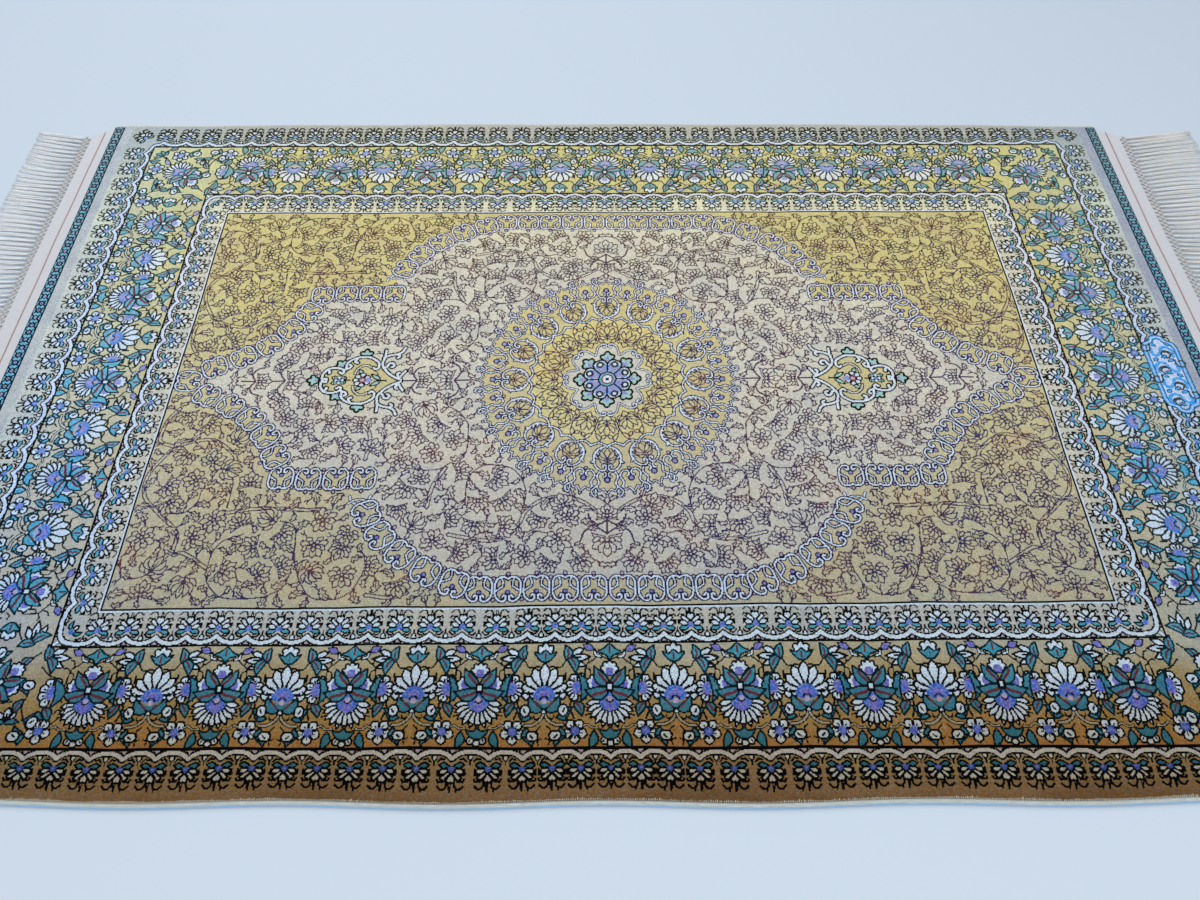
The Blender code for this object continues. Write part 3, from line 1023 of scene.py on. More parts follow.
    def draw_rose(self, chart: Chart) -> None:
        """The rose: an eye in a teal ring, eight blue drops and eight pale teal fans."""
        for p in self.spokes(chart, 8):
            p.fill(np.append(scalloped(33j, 6.0, -30.0, 210.0, 3, 3.4), [-4+25j, 4+25j]), AQUA, OLIVE, 2.4)
            p.fill(blade(26j, 35j, 6.0), LILAC)
        for p in self.spokes(chart, 8, 22.5):
            drop = np.array([-3.4+8j, -9.0+21j, -8.2+27j, -3.8+30.5j])
            for shape, yarn in ((drop, ICE), (0.76 * drop + 4.2j, BLUE), (0.56 * drop + 6.4j, LILAC)):
                p.fill(mirrored(shape), yarn, OLIVE if yarn == ICE else None, 2.2)
            p.fill(ring(24j, 4.9), BLACK)
            p.fill(ring(24j, 2.4), WHITE)
        for radius, yarn, edge in ((11.4, TEAL, OLIVE), (8.0, RED, None), (6.0, WHITE, None),
                                   (self.eye, BLACK, None)):
            Place(chart).fill(ring(0j, radius, steps=8), yarn, edge, 1.7)


@dataclass
class Pendant:
    """The pendant on the long axis: white scrolls around a small gold ground, in mm from its
    own middle. Its lower half is the chart's mirror image."""

    middle: complex = 318+0j
    ground: tuple[complex, ...] = (39-5j, 39+9j, 34+17j, 22+19j, 13+19j, 10+27j, 2+34j, -10+37j,
                                   -22+33j, -30+24j, -37+17j, -47+8j, -60+0j, -47-8j)
    scrolls: tuple[tuple[complex, ...], ...] = ((38.6-1j, 39.3+9j, 35+16.4j, 29+19.3j, 22+19.3j, 15+17j,
        13+13.5j, 15.5+10.5j, 18.5+12.5j), (11.4+17j, 11+26j, 6.4+32j, -1+35.7j, -9.5+37j, -18+35.5j, -25+31j,
        -29.3+26j, -29.5+20.5j, -26+17.5j, -22.5+20j), (11+18j, 7.5+19j, 5.5+22.5j, 8+25j),
        (-1+35.5j, 1.5+29.5j, -1.5+27.5j), (34+17j, 31+13j, 32+11j), (38.5+1j, 34+3j, 33.5+0j),
        (-60+1.5j, -53.5+4.5j, -45+10j, -36.5+19j, -33.5+26.5j, -35+36.5j, -35+48j),
        (-34.5+36j, -42+40j, -50.5+42j, -56.5+46j, -59.5+53j), (-50+42j, -54+39j, -51.5+36j),
        (-37+20j, -40+22j, -42+26.5j, -46.5+27.5j, -48.5+23j, -45.5+21j), (-57+3j, -60+9j, -64+15.5j),
        (-56+5j, -54.5+11j, -57+12.5j),)

    def draw(self, chart: Chart) -> None:
        """Draw the pendant's upper half."""
        p = Place(chart, self.middle)
        for tip, out in ((49+0j, -90.0), (17.5+24j, -40.0), (-11+41j, 0.0)):
            fan = p.inner(tip, out)
            fan.fill(np.append(scalloped(0j, 5.4, -20.0, 200.0, 3, 3.4), [-4-6j, 4-6j]), AQUA, OLIVE, 2.4)
            fan.fill(ring(-3j, 2.2, 1.1), LILAC)
        p.fill(np.array(self.ground), GOLD)
        for width, yarn in ((6.4, OLIVE), (3.0, WHITE)):
            for scroll in self.scrolls:
                p.line(spline(scroll, steps=4), yarn, width)
        for width, yarn in ((4.6, OLIVE), (2.2, CREAM)):
            p.line(spline([-1+10j, -3+17j, -8.5+22j, -15+23j, -20+20j]), yarn, width)
        for line in ((-34+0j, -42+1j), (3+0j, 10+0j), (-31+6j, -29+12j, -24+15j)):
            p.line(spline(line), OLIVE, 1.2)
        for base, tip in ((-35+0.5j, -22+9j), (-11+8j, -6+17j), (9+2j, 14+5j), (20+3j, 27+5j)):
            p.fill(blade(base, tip, 5.6), AQUA, OLIVE, 1.6)
        for degrees in (0.0, 45.0, 95.0, 150.0):
            spoke = turned(degrees)
            p.fill(blade(-11 + 3 * spoke, -11 + 11.5 * spoke, 7.5, 0.0, 1.5), WHITE, OLIVE, 1.6)
        p.fill(blade(-26+0j, -13+0j, 8.0, 0.0, 1.2), LILAC)
        p.fill(ring(-11.5+0j, 3.6), PINK, RED, 1.8)
        for degrees in (45.0, 135.0, 225.0, 315.0):
            p.fill(blade(17.5+0j, 17.5 + 9.0 * turned(degrees), 4.6), AQUA, OLIVE, 1.3)
        for degrees in (0.0, 90.0, 180.0, 270.0):
            p.fill(blade(17.5+0j, 17.5 + 6.8 * turned(degrees), 5.0, 0.0, 1.5), WHITE, OLIVE, 1.0)
        p.fill(ring(17.5+0j, 2.2), BLUE)


@dataclass
class EndStrip:
    """The teal strip of small crosses that closes each end of the pile, in mm."""

    inner: float = 742.0
    outer: float = 757.0
    height: float = 510.0
    pitch: float = 12.3
    crosses: int = 42

    def draw(self, chart: Chart) -> None:
        """Draw the strip and its row of navy crosses with pale pink hearts."""
        for left, yarn in ((self.inner, NAVY), (self.inner + 1.6, TEAL), (self.outer - 1.0, NAVY)):
            right, top = self.outer + 1, 1j * self.height
            chart.fill(np.array([left - 1j, right - 1j, right + top, left + top]), yarn)
        for k in range(self.crosses):
            p = Place(chart, complex(0.5 * (self.inner + self.outer) + 0.5, self.pitch * (k + 0.5)))
            p.line([-6.2-5.4j, 6.2+5.4j], NAVY, 2.0)
            p.line([-6.2+5.4j, 6.2-5.4j], NAVY, 2.0)
            p.fill(np.array([-5.4, -5.2j, 5.4, 5.2j]), NAVY)
            p.fill(np.array([-2.4, -2.6j, 2.4, 2.6j]), PINK)
            p.fill(ring(0j, 0.9), NAVY)


@dataclass
class EndCartouche:
    """The long cartouche in the right end's outer guard, filled with plain scrolls, in mm
    from the rug's own middle."""

    left: float = 687.5
    right: float = 727.5
    low: float = -55.0
    high: float = 64.0
    reach: int = 80

    def draw(self, knots: np.ndarray) -> None:
        """Knot the cartouche into the whole chart."""
        rows, columns = knots.shape
        chart = Chart(columns // 2, 2 * self.reach)
        chart.knots = knots[rows // 2 - self.reach:rows // 2 + self.reach, columns // 2:]
        middle = complex(0.5 * (self.left + self.right), 0.5 * (self.low + self.high) + self.reach)
        p = Place(chart, middle)
        wide, tall = 0.5 * (self.right - self.left), 0.5 * (self.high - self.low)
        p.fill(ring(0j, wide + 2.0, (tall - 3.0) / wide, steps=40), CREAM)
        side = [wide + 1j * (tall - 19.0), wide - 2.5 + 1j * (tall - 12.0), 9.0 + 1j * (tall - 8.0),
                6.0 + 1j * (tall - 2.0), 1j * tall]
        upper = mirrored(side)
        outline = np.concatenate([upper, upper[::-1].conj()])
        p.fill(outline, ICE)
        for width, yarn in ((7.4, NAVY), (5.0, SKY), (1.6, ICE)):
            p.line(np.append(outline, outline[0]), yarn, width)
        for step in (-1.5, -0.5, 0.5, 1.5):
            q = p.inner(1j * (25.0 * step), flip=step in (-0.5, 1.5))
            q.line(spline([-13-10j, -14-1j, -8+5j, -1+3j, 2-4j, 8-9j, 13-5j, 12+3j]), SKY, 4.4)
            q.line(tendril(-12-8j, 80.0, 46.0, -460.0, 0.2, 22), BLACK, 2.0)
            q.line(tendril(13+9j, -110.0, 34.0, 330.0, 0.3, 16), BLACK, 2.0)
            for base, tip in ((4+7j, 12+11j), (-5-9j, 3-12j), (-14+8j, -8+12j)):
                q.fill(blade(base, tip, 5.0), SKY, NAVY, 1.2)
            q.fill(ring(-2.5-2j, 2.0), BLACK)


@dataclass
class KnotChart:
    """The whole chart: a quarter of the rug, then its mirror images, in mm."""

    half_length: int = 757
    half_width: int = 500
    field_half: complex = 540.0+301.0j
    plain_end: int = 44
    centre_reach: float = 168.0
    loop_reach: float = 18.5
    smallest_gap: float = 5.4

    def quarter(self) -> Chart:
        """Draw the quarter that every other one mirrors."""
        chart = Chart(self.half_length, self.half_width)
        chart.fill(quarter_frame(complex(800, 600)), CREAM)
        border = MainBorder()
        border.draw(chart)
        outside = np.ones(chart.knots.shape, bool)
        outside[: int(border.outer_half.imag), : int(border.outer_half.real)] = False
        chart.knots[outside] = CREAM
        chart.fill(quarter_frame(border.inner_half), CREAM)
        Guard(border.outer_half, 1, sprig_spots(22, 31.63, 9.0, 0.015), sprig_spots(14, 33.4, 0.0),
              (-11+10j, -6.5+5.4j, 0.5+3.6j, 3.4-1.5j, 5.2-8.5j, 10-15.3j), heart_gap=19.5).draw(chart)
        Guard(border.inner_half, -1, sprig_spots(18, 31.63, 9.0), sprig_spots(10, 32.7, 0.0),
              (-44.3-10j, -37-4.8j, -27-3.4j, -15-4.4j, -7.6-8.6j, -4.4-17j, -3.4-29j, -5-41j,
               -10-48.7j), long_line=1.6, short_line=1.5).draw(chart)
        # Cream at the rug's ends is knotted in its copy with painted shade.
        end = chart.knots[:, int(border.outer_half.real) + self.plain_end:]
        end[end == CREAM] = PEARL
        EndStrip().draw(chart)
        self.draw_field(chart)
        return chart

    def draw_field(self, chart: Chart) -> None:
        """The field: its ground and lines, the medallions and the pendant."""
        corner = self.field_half
        chart.fill(quarter_frame(corner + (5.2+5.2j)), ICE)
        chart.fill(quarter_frame(corner + (3.0+3.0j)), OLIVE)
        field = Chart(int(corner.real), int(corner.imag))
        medallion = OuterMedallion()
        drawing = medallion.draw(field)
        CentreMedallion().draw(field)
        Pendant().draw(field)
        kept = [(0j, self.centre_reach)] + [(middle, self.loop_reach) for middle, _ in medallion.loops()]
        drawing.fill_gaps(self.smallest_gap, kept)
        chart.knots[: field.knots.shape[0], : field.knots.shape[1]] = field.knots

    def whole(self) -> np.ndarray:
        """The whole rug's knots: rows from the near edge to the far one, columns left to right."""
        far_right = self.quarter().knots
        far = np.concatenate([far_right[:, ::-1], far_right], axis=1)
        knots = np.concatenate([far[::-1], far], axis=0)
        EndCartouche().draw(knots)
        return knots


# ------------------------------------------------------------------ meshes
def build_mesh(name: str, points: np.ndarray, face_sets: Sequence[np.ndarray],
               slots: np.ndarray | None = None, smooth: bool = True,
               uv: np.ndarray | None = None) -> bpy.types.Object:
    """A mesh object at the origin from whole arrays.

    Args:
        name: the object's name.
        points: its points, one row each, in metres.
        face_sets: arrays of faces, each with one number of corners.
        slots: each face's material slot, where there are several.
        smooth: whether it is shaded smooth.
        uv: each corner's place in the map that a bake uses, where the piece has its own.

    Returns:
        The object, linked to the scene.
    """
    corners = np.concatenate([faces.ravel() for faces in face_sets])
    sizes = np.concatenate([np.full(len(faces), faces.shape[1]) for faces in face_sets])
    starts = np.concatenate([[0], np.cumsum(sizes)[:-1]])
    mesh = bpy.data.meshes.new(name)
    mesh.vertices.add(len(points))
    mesh.vertices.foreach_set("co", np.asarray(points, np.float32).ravel())
    mesh.loops.add(len(corners))
    mesh.loops.foreach_set("vertex_index", corners.astype(np.int32))
    mesh.polygons.add(len(starts))
    mesh.polygons.foreach_set("loop_start", starts.astype(np.int32))
    if slots is not None:
        mesh.polygons.foreach_set("material_index", slots.astype(np.int32))
    mesh.polygons.foreach_set("use_smooth", np.full(len(starts), smooth))
    mesh.update(calc_edges=True)
    if uv is not None:
        layer = mesh.uv_layers.new(name="OFBake")
        layer.data.foreach_set("uv", np.asarray(uv, np.float32).ravel())
    mesh.validate()
    thing = bpy.data.objects.new(name, mesh)
    bpy.context.scene.collection.objects.link(thing)
    return thing


def grid_faces(rows: int, columns: int, wrap: bool = False) -> np.ndarray:
    """The four-cornered faces of a grid of points, row by row; wrap joins the last column
    to the first one."""
    across = np.arange(columns if wrap else columns - 1)
    row = np.arange(rows - 1)[:, None] * columns
    a, b = row + across, row + (across + 1) % columns
    return np.stack([a, a + columns, b + columns, b], axis=-1).reshape(-1, 4)


def tubes(lines: np.ndarray, radius: np.ndarray | float, sides: int,
          tall: float = 1.0) -> tuple[np.ndarray, list[np.ndarray]]:
    """Strands along many lines at once, with a face on top and closed ends.

    A strand's point is its line's point plus radius * (cos a * side + tall * sin a * over),
    where side lies level across the line and over stands square on both.

    Args:
        lines: strands x stations x 3, in metres.
        radius: one radius, or one for each strand and station, in metres.
        sides: faces around a strand.
        tall: the height of a strand, as a share of its width.

    Returns:
        The points and the arrays of faces.
    """
    strands, stations, _ = lines.shape
    along = np.gradient(lines, axis=1)
    along /= np.linalg.norm(along, axis=2, keepdims=True)
    side = np.cross(along, (0.0, 0.0, 1.0))
    side /= np.maximum(np.linalg.norm(side, axis=2, keepdims=True), 1e-9)
    over = np.cross(side, along)
    angle = np.pi * (0.5 + (2.0 * np.arange(sides) - 1.0) / sides)
    spoke = np.cos(angle)[:, None] * side[:, :, None] + tall * np.sin(angle)[:, None] * over[:, :, None]
    reach = np.broadcast_to(np.asarray(radius, float), (strands, stations))[:, :, None, None]
    points = (lines[:, :, None] + reach * spoke).reshape(-1, 3)
    one = grid_faces(stations, sides, wrap=True)
    offset = np.arange(strands)[:, None] * stations * sides
    walls = (one.ravel()[None] + offset).reshape(-1, 4)
    ring_corners = np.arange(sides)[None]
    starts = ring_corners + offset
    ends = ring_corners[:, ::-1] + offset + (stations - 1) * sides
    return points, [walls, np.concatenate([starts, ends])]


def finish_piece(piece: bpy.types.Object, materials: Sequence[bpy.types.Material]) -> bpy.types.Object:
    """Dress a piece, make it ride on the rug and log it."""
    for material in materials:
        piece.data.materials.append(material)
    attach(piece, "root")
    triangles = len(piece.data.loops) - 2 * len(piece.data.polygons)
    log.info("%s: %d triangles", piece.name, triangles)
    return piece


# ------------------------------------------------------------------ how the cloth lies
def in_frame(x: np.ndarray, y: np.ndarray, z: np.ndarray | float) -> np.ndarray:
    """Points in metres of the part's frame from millimetres from the rug's own middle."""
    return np.stack(np.broadcast_arrays(x * MM + RUG_MIDDLE[0], y * MM + RUG_MIDDLE[1], z * MM), axis=-1)


@dataclass(frozen=True)
class Lie:
    """How the woven rug lies: its wavering edges, its drawn-in ends and its slight swells.

    Chart places are in mm; results are in metres in the part's frame.
    """

    pile_half: float = 757.0
    cloth_half: float = 790.0
    chart_half_width: float = 500.0
    border_half_width: float = 449.5
    rows: tuple[float, ...] = (-449.5, -343.0, -301.0, -282.0, -144.5, 0.0, 144.5, 282.0, 301.0, 343.0, 449.5)
    row_places: tuple[float, ...] = (-449.7, -341.8, -299.3, -280.2, -140.3, 3.0, 148.8, 283.7, 302.0, 343.3,
        449.0)
    columns: tuple[float, ...] = (-757.0, -685.0, -582.0, -540.0, 0.0, 540.0, 582.0, 685.0, 757.0)
    column_places: tuple[float, ...] = (-757.0, -683.5, -579.5, -538.5, 0.7, 541.3, 583.3, 685.8, 757.0)
    slip_at: tuple[float, ...] = (-480.0, -371.0, -286.0, -62.0, 0.0, 62.0, 139.0, 185.0, 247.0, 386.0, 456.0,
                                  556.0, 640.0)
    slip: tuple[float, ...] = (0.0, -7.7, -10.5, -8.5, -6.2, -3.0, -7.5, -9.0, -5.0, -3.5, -7.0, -4.6, 0.0)
    draw_in: float = 19.0
    far: float = 497.3
    near: float = 498.0
    swell: float = 0.45

    def drawn(self, x: np.ndarray) -> np.ndarray:
        """How much narrower the rug is at x, past the pile."""
        past = np.maximum(0.0, np.abs(x) - self.pile_half)
        return self.draw_in * past / (self.cloth_half - self.pile_half)

    def far_edge(self, x: np.ndarray) -> np.ndarray:
        """The far long edge: a slight bow and skew, and a waver of 0.7 mm."""
        a = x / self.pile_half
        waver = 0.7 * np.sin(2.0 * np.pi * x / 262.0 + 0.4)
        return self.far + 1.5 - 3.2 * a - 5.8 * a**2 + waver - self.drawn(x)

    def near_edge(self, x: np.ndarray) -> np.ndarray:
        """The near long edge: a slight bow and a waver of 1.7 mm."""
        a = x / self.pile_half
        waver = 1.7 * np.cos(2.0 * np.pi * (x + 160.0) / 305.0)
        return -(self.near + 1.0 - 4.2 * a**2 + waver - self.drawn(x))

    def lift(self, x: np.ndarray, y: np.ndarray) -> np.ndarray:
        """How far the cloth rises off the floor, in mm: two long crossing swells, never under 0."""
        swells = 1.0 + np.sin(x / 83.0 + y / 240.0) * np.cos(y / 71.0 - x / 310.0)
        edge = np.clip((self.chart_half_width - np.abs(y)) / 60.0, 0.0, 1.0)
        return self.swell * swells * edge * np.clip((self.cloth_half - np.abs(x)) / 60.0, 0.0, 1.0)

    def to_frame(self, x: np.ndarray, y: np.ndarray, z: np.ndarray | float) -> np.ndarray:
        """Points of the part's frame that lie z above the floor, on the cloth's swells."""
        return in_frame(x, y, z + self.lift(x, y))

    def pile(self, x: np.ndarray, y: np.ndarray) -> tuple[np.ndarray, np.ndarray]:
        """Where a knot of the chart lies, in mm.

        No hand-woven line lies quite where the chart has it: rows and columns are beaten a
        little tighter here and looser there, the near rows run askew by 3 mm in 480, the
        far guard's sprigs slip along it and stand taller, and every line wavers by under
        a millimetre.
        """
        half = self.border_half_width
        askew = np.interp(y, (-half, -343.0, -300.0, 300.0), (0.0, 1.0, 1.0, 0.0)) * x / 160.0
        inside = np.interp(y, self.rows, self.row_places)
        over = np.maximum(0.0, np.abs(y) - half) / (self.chart_half_width - half)
        over = np.where(y > 0.0, np.interp(over, (0.0, 0.39, 0.80, 1.0), (0.0, 0.45, 0.90, 1.0)), over)
        edge = np.where(y > 0.0, self.far_edge(x), self.near_edge(x))
        ripple = 0.55 * np.sin(x / 31.0 + y / 90.0) + 0.35 * np.sin(x / 13.0 - y / 40.0)
        calm = np.clip((490.0 - np.abs(y)) / 40.0, 0.0, 1.0)
        row_shift = 0.8 * np.sin(y / 84.0 + 0.7) + 0.4 * np.sin(y / 29.0 + x / 200.0)
        column_calm = np.clip((756.0 - np.abs(x)) / 30.0, 0.0, 1.0)
        along = np.interp(x, self.columns, self.column_places) + row_shift * column_calm
        along = along + np.where(y > half, np.interp(x, self.slip_at, self.slip), 0.0)
        return along, inside + askew + over * (edge - inside) + ripple * calm


# ------------------------------------------------------------------ weaving the pile
KEY_MIDDLE = 4096        # more than any corner's distance from the middle, in knots


@dataclass(frozen=True)
class Panel:
    """A stretch of the pile made as one piece: rectangles of the chart, in mm from its middle."""

    name: str
    rectangles: tuple[tuple[int, int, int, int], ...]


def frame_of(outer: tuple[int, int], inner: tuple[int, int]) -> dict[str, tuple[int, int, int, int]]:
    """The four sides between two half sizes; the long sides take the corners."""
    (x, y), (a, b) = outer, inner
    return {"far": (-x, b, x, y), "near": (-x, -y, x, -b), "left": (-x, -b, -a, b), "right": (a, -b, x, b)}


@dataclass
class Pile:
    """The cut silk pile: the chart's knots as runs of tufts, one material for each yarn."""

    lie: Lie
    height: float = 4.6
    outline_rise: float = 0.1
    longest_run: int = 32
    cell_margin: float = 0.01
    field_cut: tuple[int, int] = (543, 304)
    guard_cut: tuple[int, int] = (583, 344)
    border_cut: tuple[int, int] = (685, 449)
    strip_cut: tuple[int, int] = (742, 500)
    end: int = 757

    def panels(self) -> list[Panel]:
        """The pieces the pile is made in."""
        inner = frame_of(self.guard_cut, self.field_cut)
        border = frame_of(self.border_cut, self.guard_cut)
        outer = frame_of(self.strip_cut, self.border_cut)
        x, y = self.field_cut
        half = self.strip_cut[1]
        return [Panel("pile_field", ((-x, -y, x, y),)), Panel("pile_inner_guard", tuple(inner.values())),
            Panel("pile_border_far", (border["far"],)), Panel("pile_border_near", (border["near"],)),
            Panel("pile_border_left", (border["left"],)), Panel("pile_border_right", (border["right"],)),
            Panel("pile_outer_guard", tuple(outer.values())),
            Panel("pile_end_strips", ((-self.end, -half, -self.strip_cut[0], half),
            (self.strip_cut[0], -half, self.end, half))),]

    def runs(self, knots: np.ndarray) -> tuple[np.ndarray, ...]:
        """Rectangles of like knots that cover a tile of the chart.

        Each row is cut where the yarn changes, and at every longest_run knots. Runs with
        the same ends and yarn in rows that follow each other then make one rectangle.

        Args:
            knots: the tile's yarn numbers.

        Returns:
            The rectangles' first and last columns and rows, and their yarns.
        """
        rows, columns = knots.shape
        change = np.ones(knots.shape, bool)
        change[:, 1:] = knots[:, 1:] != knots[:, :-1]
        change[:, :: self.longest_run] = True
        starts = np.flatnonzero(change)
        ends = np.append(starts[1:], knots.size)
        row, left = np.divmod(starts, columns)
        right, yarn = left + ends - starts, knots.ravel()[starts]
        order = np.lexsort((row, yarn, right, left))
        row, left, right, yarn = row[order], left[order], right[order], yarn[order]
        joins = ((left[1:] == left[:-1]) & (right[1:] == right[:-1]) & (yarn[1:] == yarn[:-1])
                 & (row[1:] == row[:-1] + 1) & (row[1:] % self.longest_run != 0))
        first = np.flatnonzero(np.concatenate([[True], ~joins]))
        last = np.append(first[1:], len(row)) - 1
        return left[first], right[first], row[first], row[last] + 1, yarn[first]

    def tiles(self, panel: Panel) -> tuple[list[tuple[int, int, int, int]], int]:
        """Cut a panel's rectangles into tiles of about one size, so that its baked picture
        can hold them in a square grid.

        Returns:
            The tiles, and how many of them, each twice, stand along each side of the picture.
        """
        area = sum((x1 - x0) * (y1 - y0) for x0, y0, x1, y1 in panel.rectangles)
        narrow = min(min(x1 - x0, y1 - y0) for x0, y0, x1, y1 in panel.rectangles)
        size = min(narrow, math.ceil(math.sqrt(area / 4)))
        found = []
        for x0, y0, x1, y1 in panel.rectangles:
            across = np.linspace(x0, x1, max(1, math.ceil((x1 - x0) / size)) + 1).round().astype(int)
            up = np.linspace(y0, y1, max(1, math.ceil((y1 - y0) / size)) + 1).round().astype(int)
            found += [(int(a), int(c), int(b), int(d)) for a, b in zip(across[:-1], across[1:])
                      for c, d in zip(up[:-1], up[1:])]
        return found, math.ceil(math.sqrt(2 * len(found)))

    def layers(self, knots: np.ndarray) -> tuple[np.ndarray, np.ndarray]:
        """A tile's knots as two layers: the colours, which run on under the outlines from the
        left, and the outlines alone."""
        drawn = np.isin(knots, OUTLINES)
        last = np.maximum.accumulate(np.where(drawn, 0, np.arange(knots.shape[1])), axis=1)
        return np.take_along_axis(knots, last, axis=1), np.where(drawn, knots, NO_YARN)

    def weave(self, panel: Panel, chart: np.ndarray, dyes: dict[int, bpy.types.Material]) -> bpy.types.Object:
        """Make one panel's mesh: flat tufts with shared corners, on the lie of the cloth, the
        outlines' tufts a hair above the others."""
        middle_x, middle_y = chart.shape[1] // 2, chart.shape[0] // 2
        tiles, cells = self.tiles(panel)
        cell_size = 1.0 - 2.0 * self.cell_margin
        parts = []
        for k, (x0, y0, x1, y1) in enumerate(tiles):
            knots = chart[y0 + middle_y:y1 + middle_y, x0 + middle_x:x1 + middle_x]
            for layer, shown in enumerate(self.layers(knots)):
                runs = np.stack(self.runs(shown))
                left, right, low, high, yarn = runs[:, runs[4] != NO_YARN]
                row, column = divmod(k + layer * len(tiles), cells)
                x = np.stack([left, right, right, left], 1)
                y = np.stack([low, low, high, high], 1)
                u = (column + self.cell_margin + cell_size * x / (x1 - x0)) / cells
                v = (row + self.cell_margin + cell_size * y / (y1 - y0)) / cells
                parts.append((x + x0, y + y0, u, v, np.full(x.shape, layer), yarn))
        x, y, u, v, layer, yarn = (np.concatenate(part) for part in zip(*parts))
        key = ((y + KEY_MIDDLE).astype(np.int64) * 2 * KEY_MIDDLE + (x + KEY_MIDDLE)) * 2 + layer
        corners, faces = np.unique(key, return_inverse=True)
        spot, layer = np.divmod(corners, 2)
        spot_y, spot_x = np.divmod(spot, 2 * KEY_MIDDLE)
        points = self.lie.to_frame(*self.lie.pile(spot_x - float(KEY_MIDDLE), spot_y - float(KEY_MIDDLE)),
                                   self.height + self.outline_rise * layer)
        used, slots = np.unique(yarn, return_inverse=True)
        piece = build_mesh(panel.name, points, [faces.reshape(-1, 4)], slots, uv=np.stack([u, v], axis=-1))
        return finish_piece(piece, [dyes[int(k)] for k in used])


# ------------------------------------------------------------------ cloth, cords and fringes
@dataclass
class Foundation:
    """The rug's cloth: a closed sheet under the pile, with its flat-woven ends, in mm."""

    lie: Lie
    pile_top: float = 4.25
    weave_top: float = 2.1
    step: float = 1.6
    columns: int = 110
    end_columns: int = 8
    rows: int = 48
    sharp_degrees: float = 50.0

    def build(self, materials: Sequence[bpy.types.Material]) -> bpy.types.Object:
        """Build the sheet: a grid of top points, one of bottom points and a wall around.

        Args:
            materials: the pile's side, the flat weave and the knotted back.
        """
        lie = self.lie
        pile_x = np.linspace(-lie.pile_half, lie.pile_half, self.columns)
        share = np.linspace(0.0, 1.0, self.end_columns)
        end_x = lie.pile_half + self.step + share * (lie.cloth_half - lie.pile_half - self.step)
        x = np.concatenate([-end_x[::-1], pile_x, end_x])[:, None]
        share = np.linspace(0.0, 1.0, self.rows)[None, :]
        y = lie.near_edge(x) + share * (lie.far_edge(x) - lie.near_edge(x))
        side = np.sign(x)
        end = side * (lie.cloth_half + 1.2 * np.sin(2.0 * np.pi * y / 520.0 + 0.9 * side))
        x = np.where(np.abs(x) > lie.cloth_half - 1e-6, end, x)
        top = np.where(np.abs(x) < lie.pile_half + 1e-6, self.pile_top, self.weave_top)
        upper, lower = (lie.to_frame(x, y, z).reshape(-1, 3) for z in (top, 0.0))
        n, m = x.shape
        sheet = grid_faces(n, m)
        index = np.arange(n * m).reshape(n, m)
        rim = np.concatenate([index[:, 0], index[-1, 1:], index[-2::-1, -1], index[0, -2:0:-1]])
        ahead = np.roll(rim, -1)
        wall = np.stack([rim, rim + n * m, ahead + n * m, ahead], axis=1)
        across = np.repeat(np.abs(x[:-1, 0] + x[1:, 0]) * 0.5, m - 1)
        slots = np.concatenate([np.where(across < lie.pile_half + self.step, 0, 1),
                                np.full(len(sheet), 2), np.zeros(len(wall), int)])
        piece = build_mesh("rug_foundation", np.concatenate([upper, lower]),
                           [sheet, sheet[:, ::-1] + n * m, wall], slots)
        piece.data.set_sharp_from_angle(angle=math.radians(self.sharp_degrees))
        return finish_piece(piece, materials)


@dataclass
class TwinedLine:
    """The pink-brown line of two twined wefts across each flat-woven end, in mm."""

    lie: Lie
    at: float = 772.0
    strand: float = 0.5
    twist: float = 0.42
    pitch: float = 5.2
    height: float = 2.4
    stations: int = 900
    sides: int = 5

    def build(self, side: float, material: bpy.types.Material) -> bpy.types.Object:
        """Two strands that wind round each other along y, a helix each, half a turn apart."""
        x = side * self.at
        low, high = float(self.lie.near_edge(np.array(x))), float(self.lie.far_edge(np.array(x)))
        y = np.linspace(low + 0.6, high - 0.6, self.stations)
        wander = 0.5 * np.sin(y / 61.0) + 0.3 * np.sin(y / 23.0)
        turns = [2.0 * np.pi * y / self.pitch + phase for phase in (0.0, np.pi)]
        strands = [self.lie.to_frame(x + wander + self.twist * np.cos(turn), y,
                                     self.height + self.twist * 0.7 * np.sin(turn)) for turn in turns]
        name = "twined_line_left" if side < 0 else "twined_line_right"
        piece = build_mesh(name, *tubes(np.array(strands), self.strand * MM, self.sides))
        return finish_piece(piece, [material])


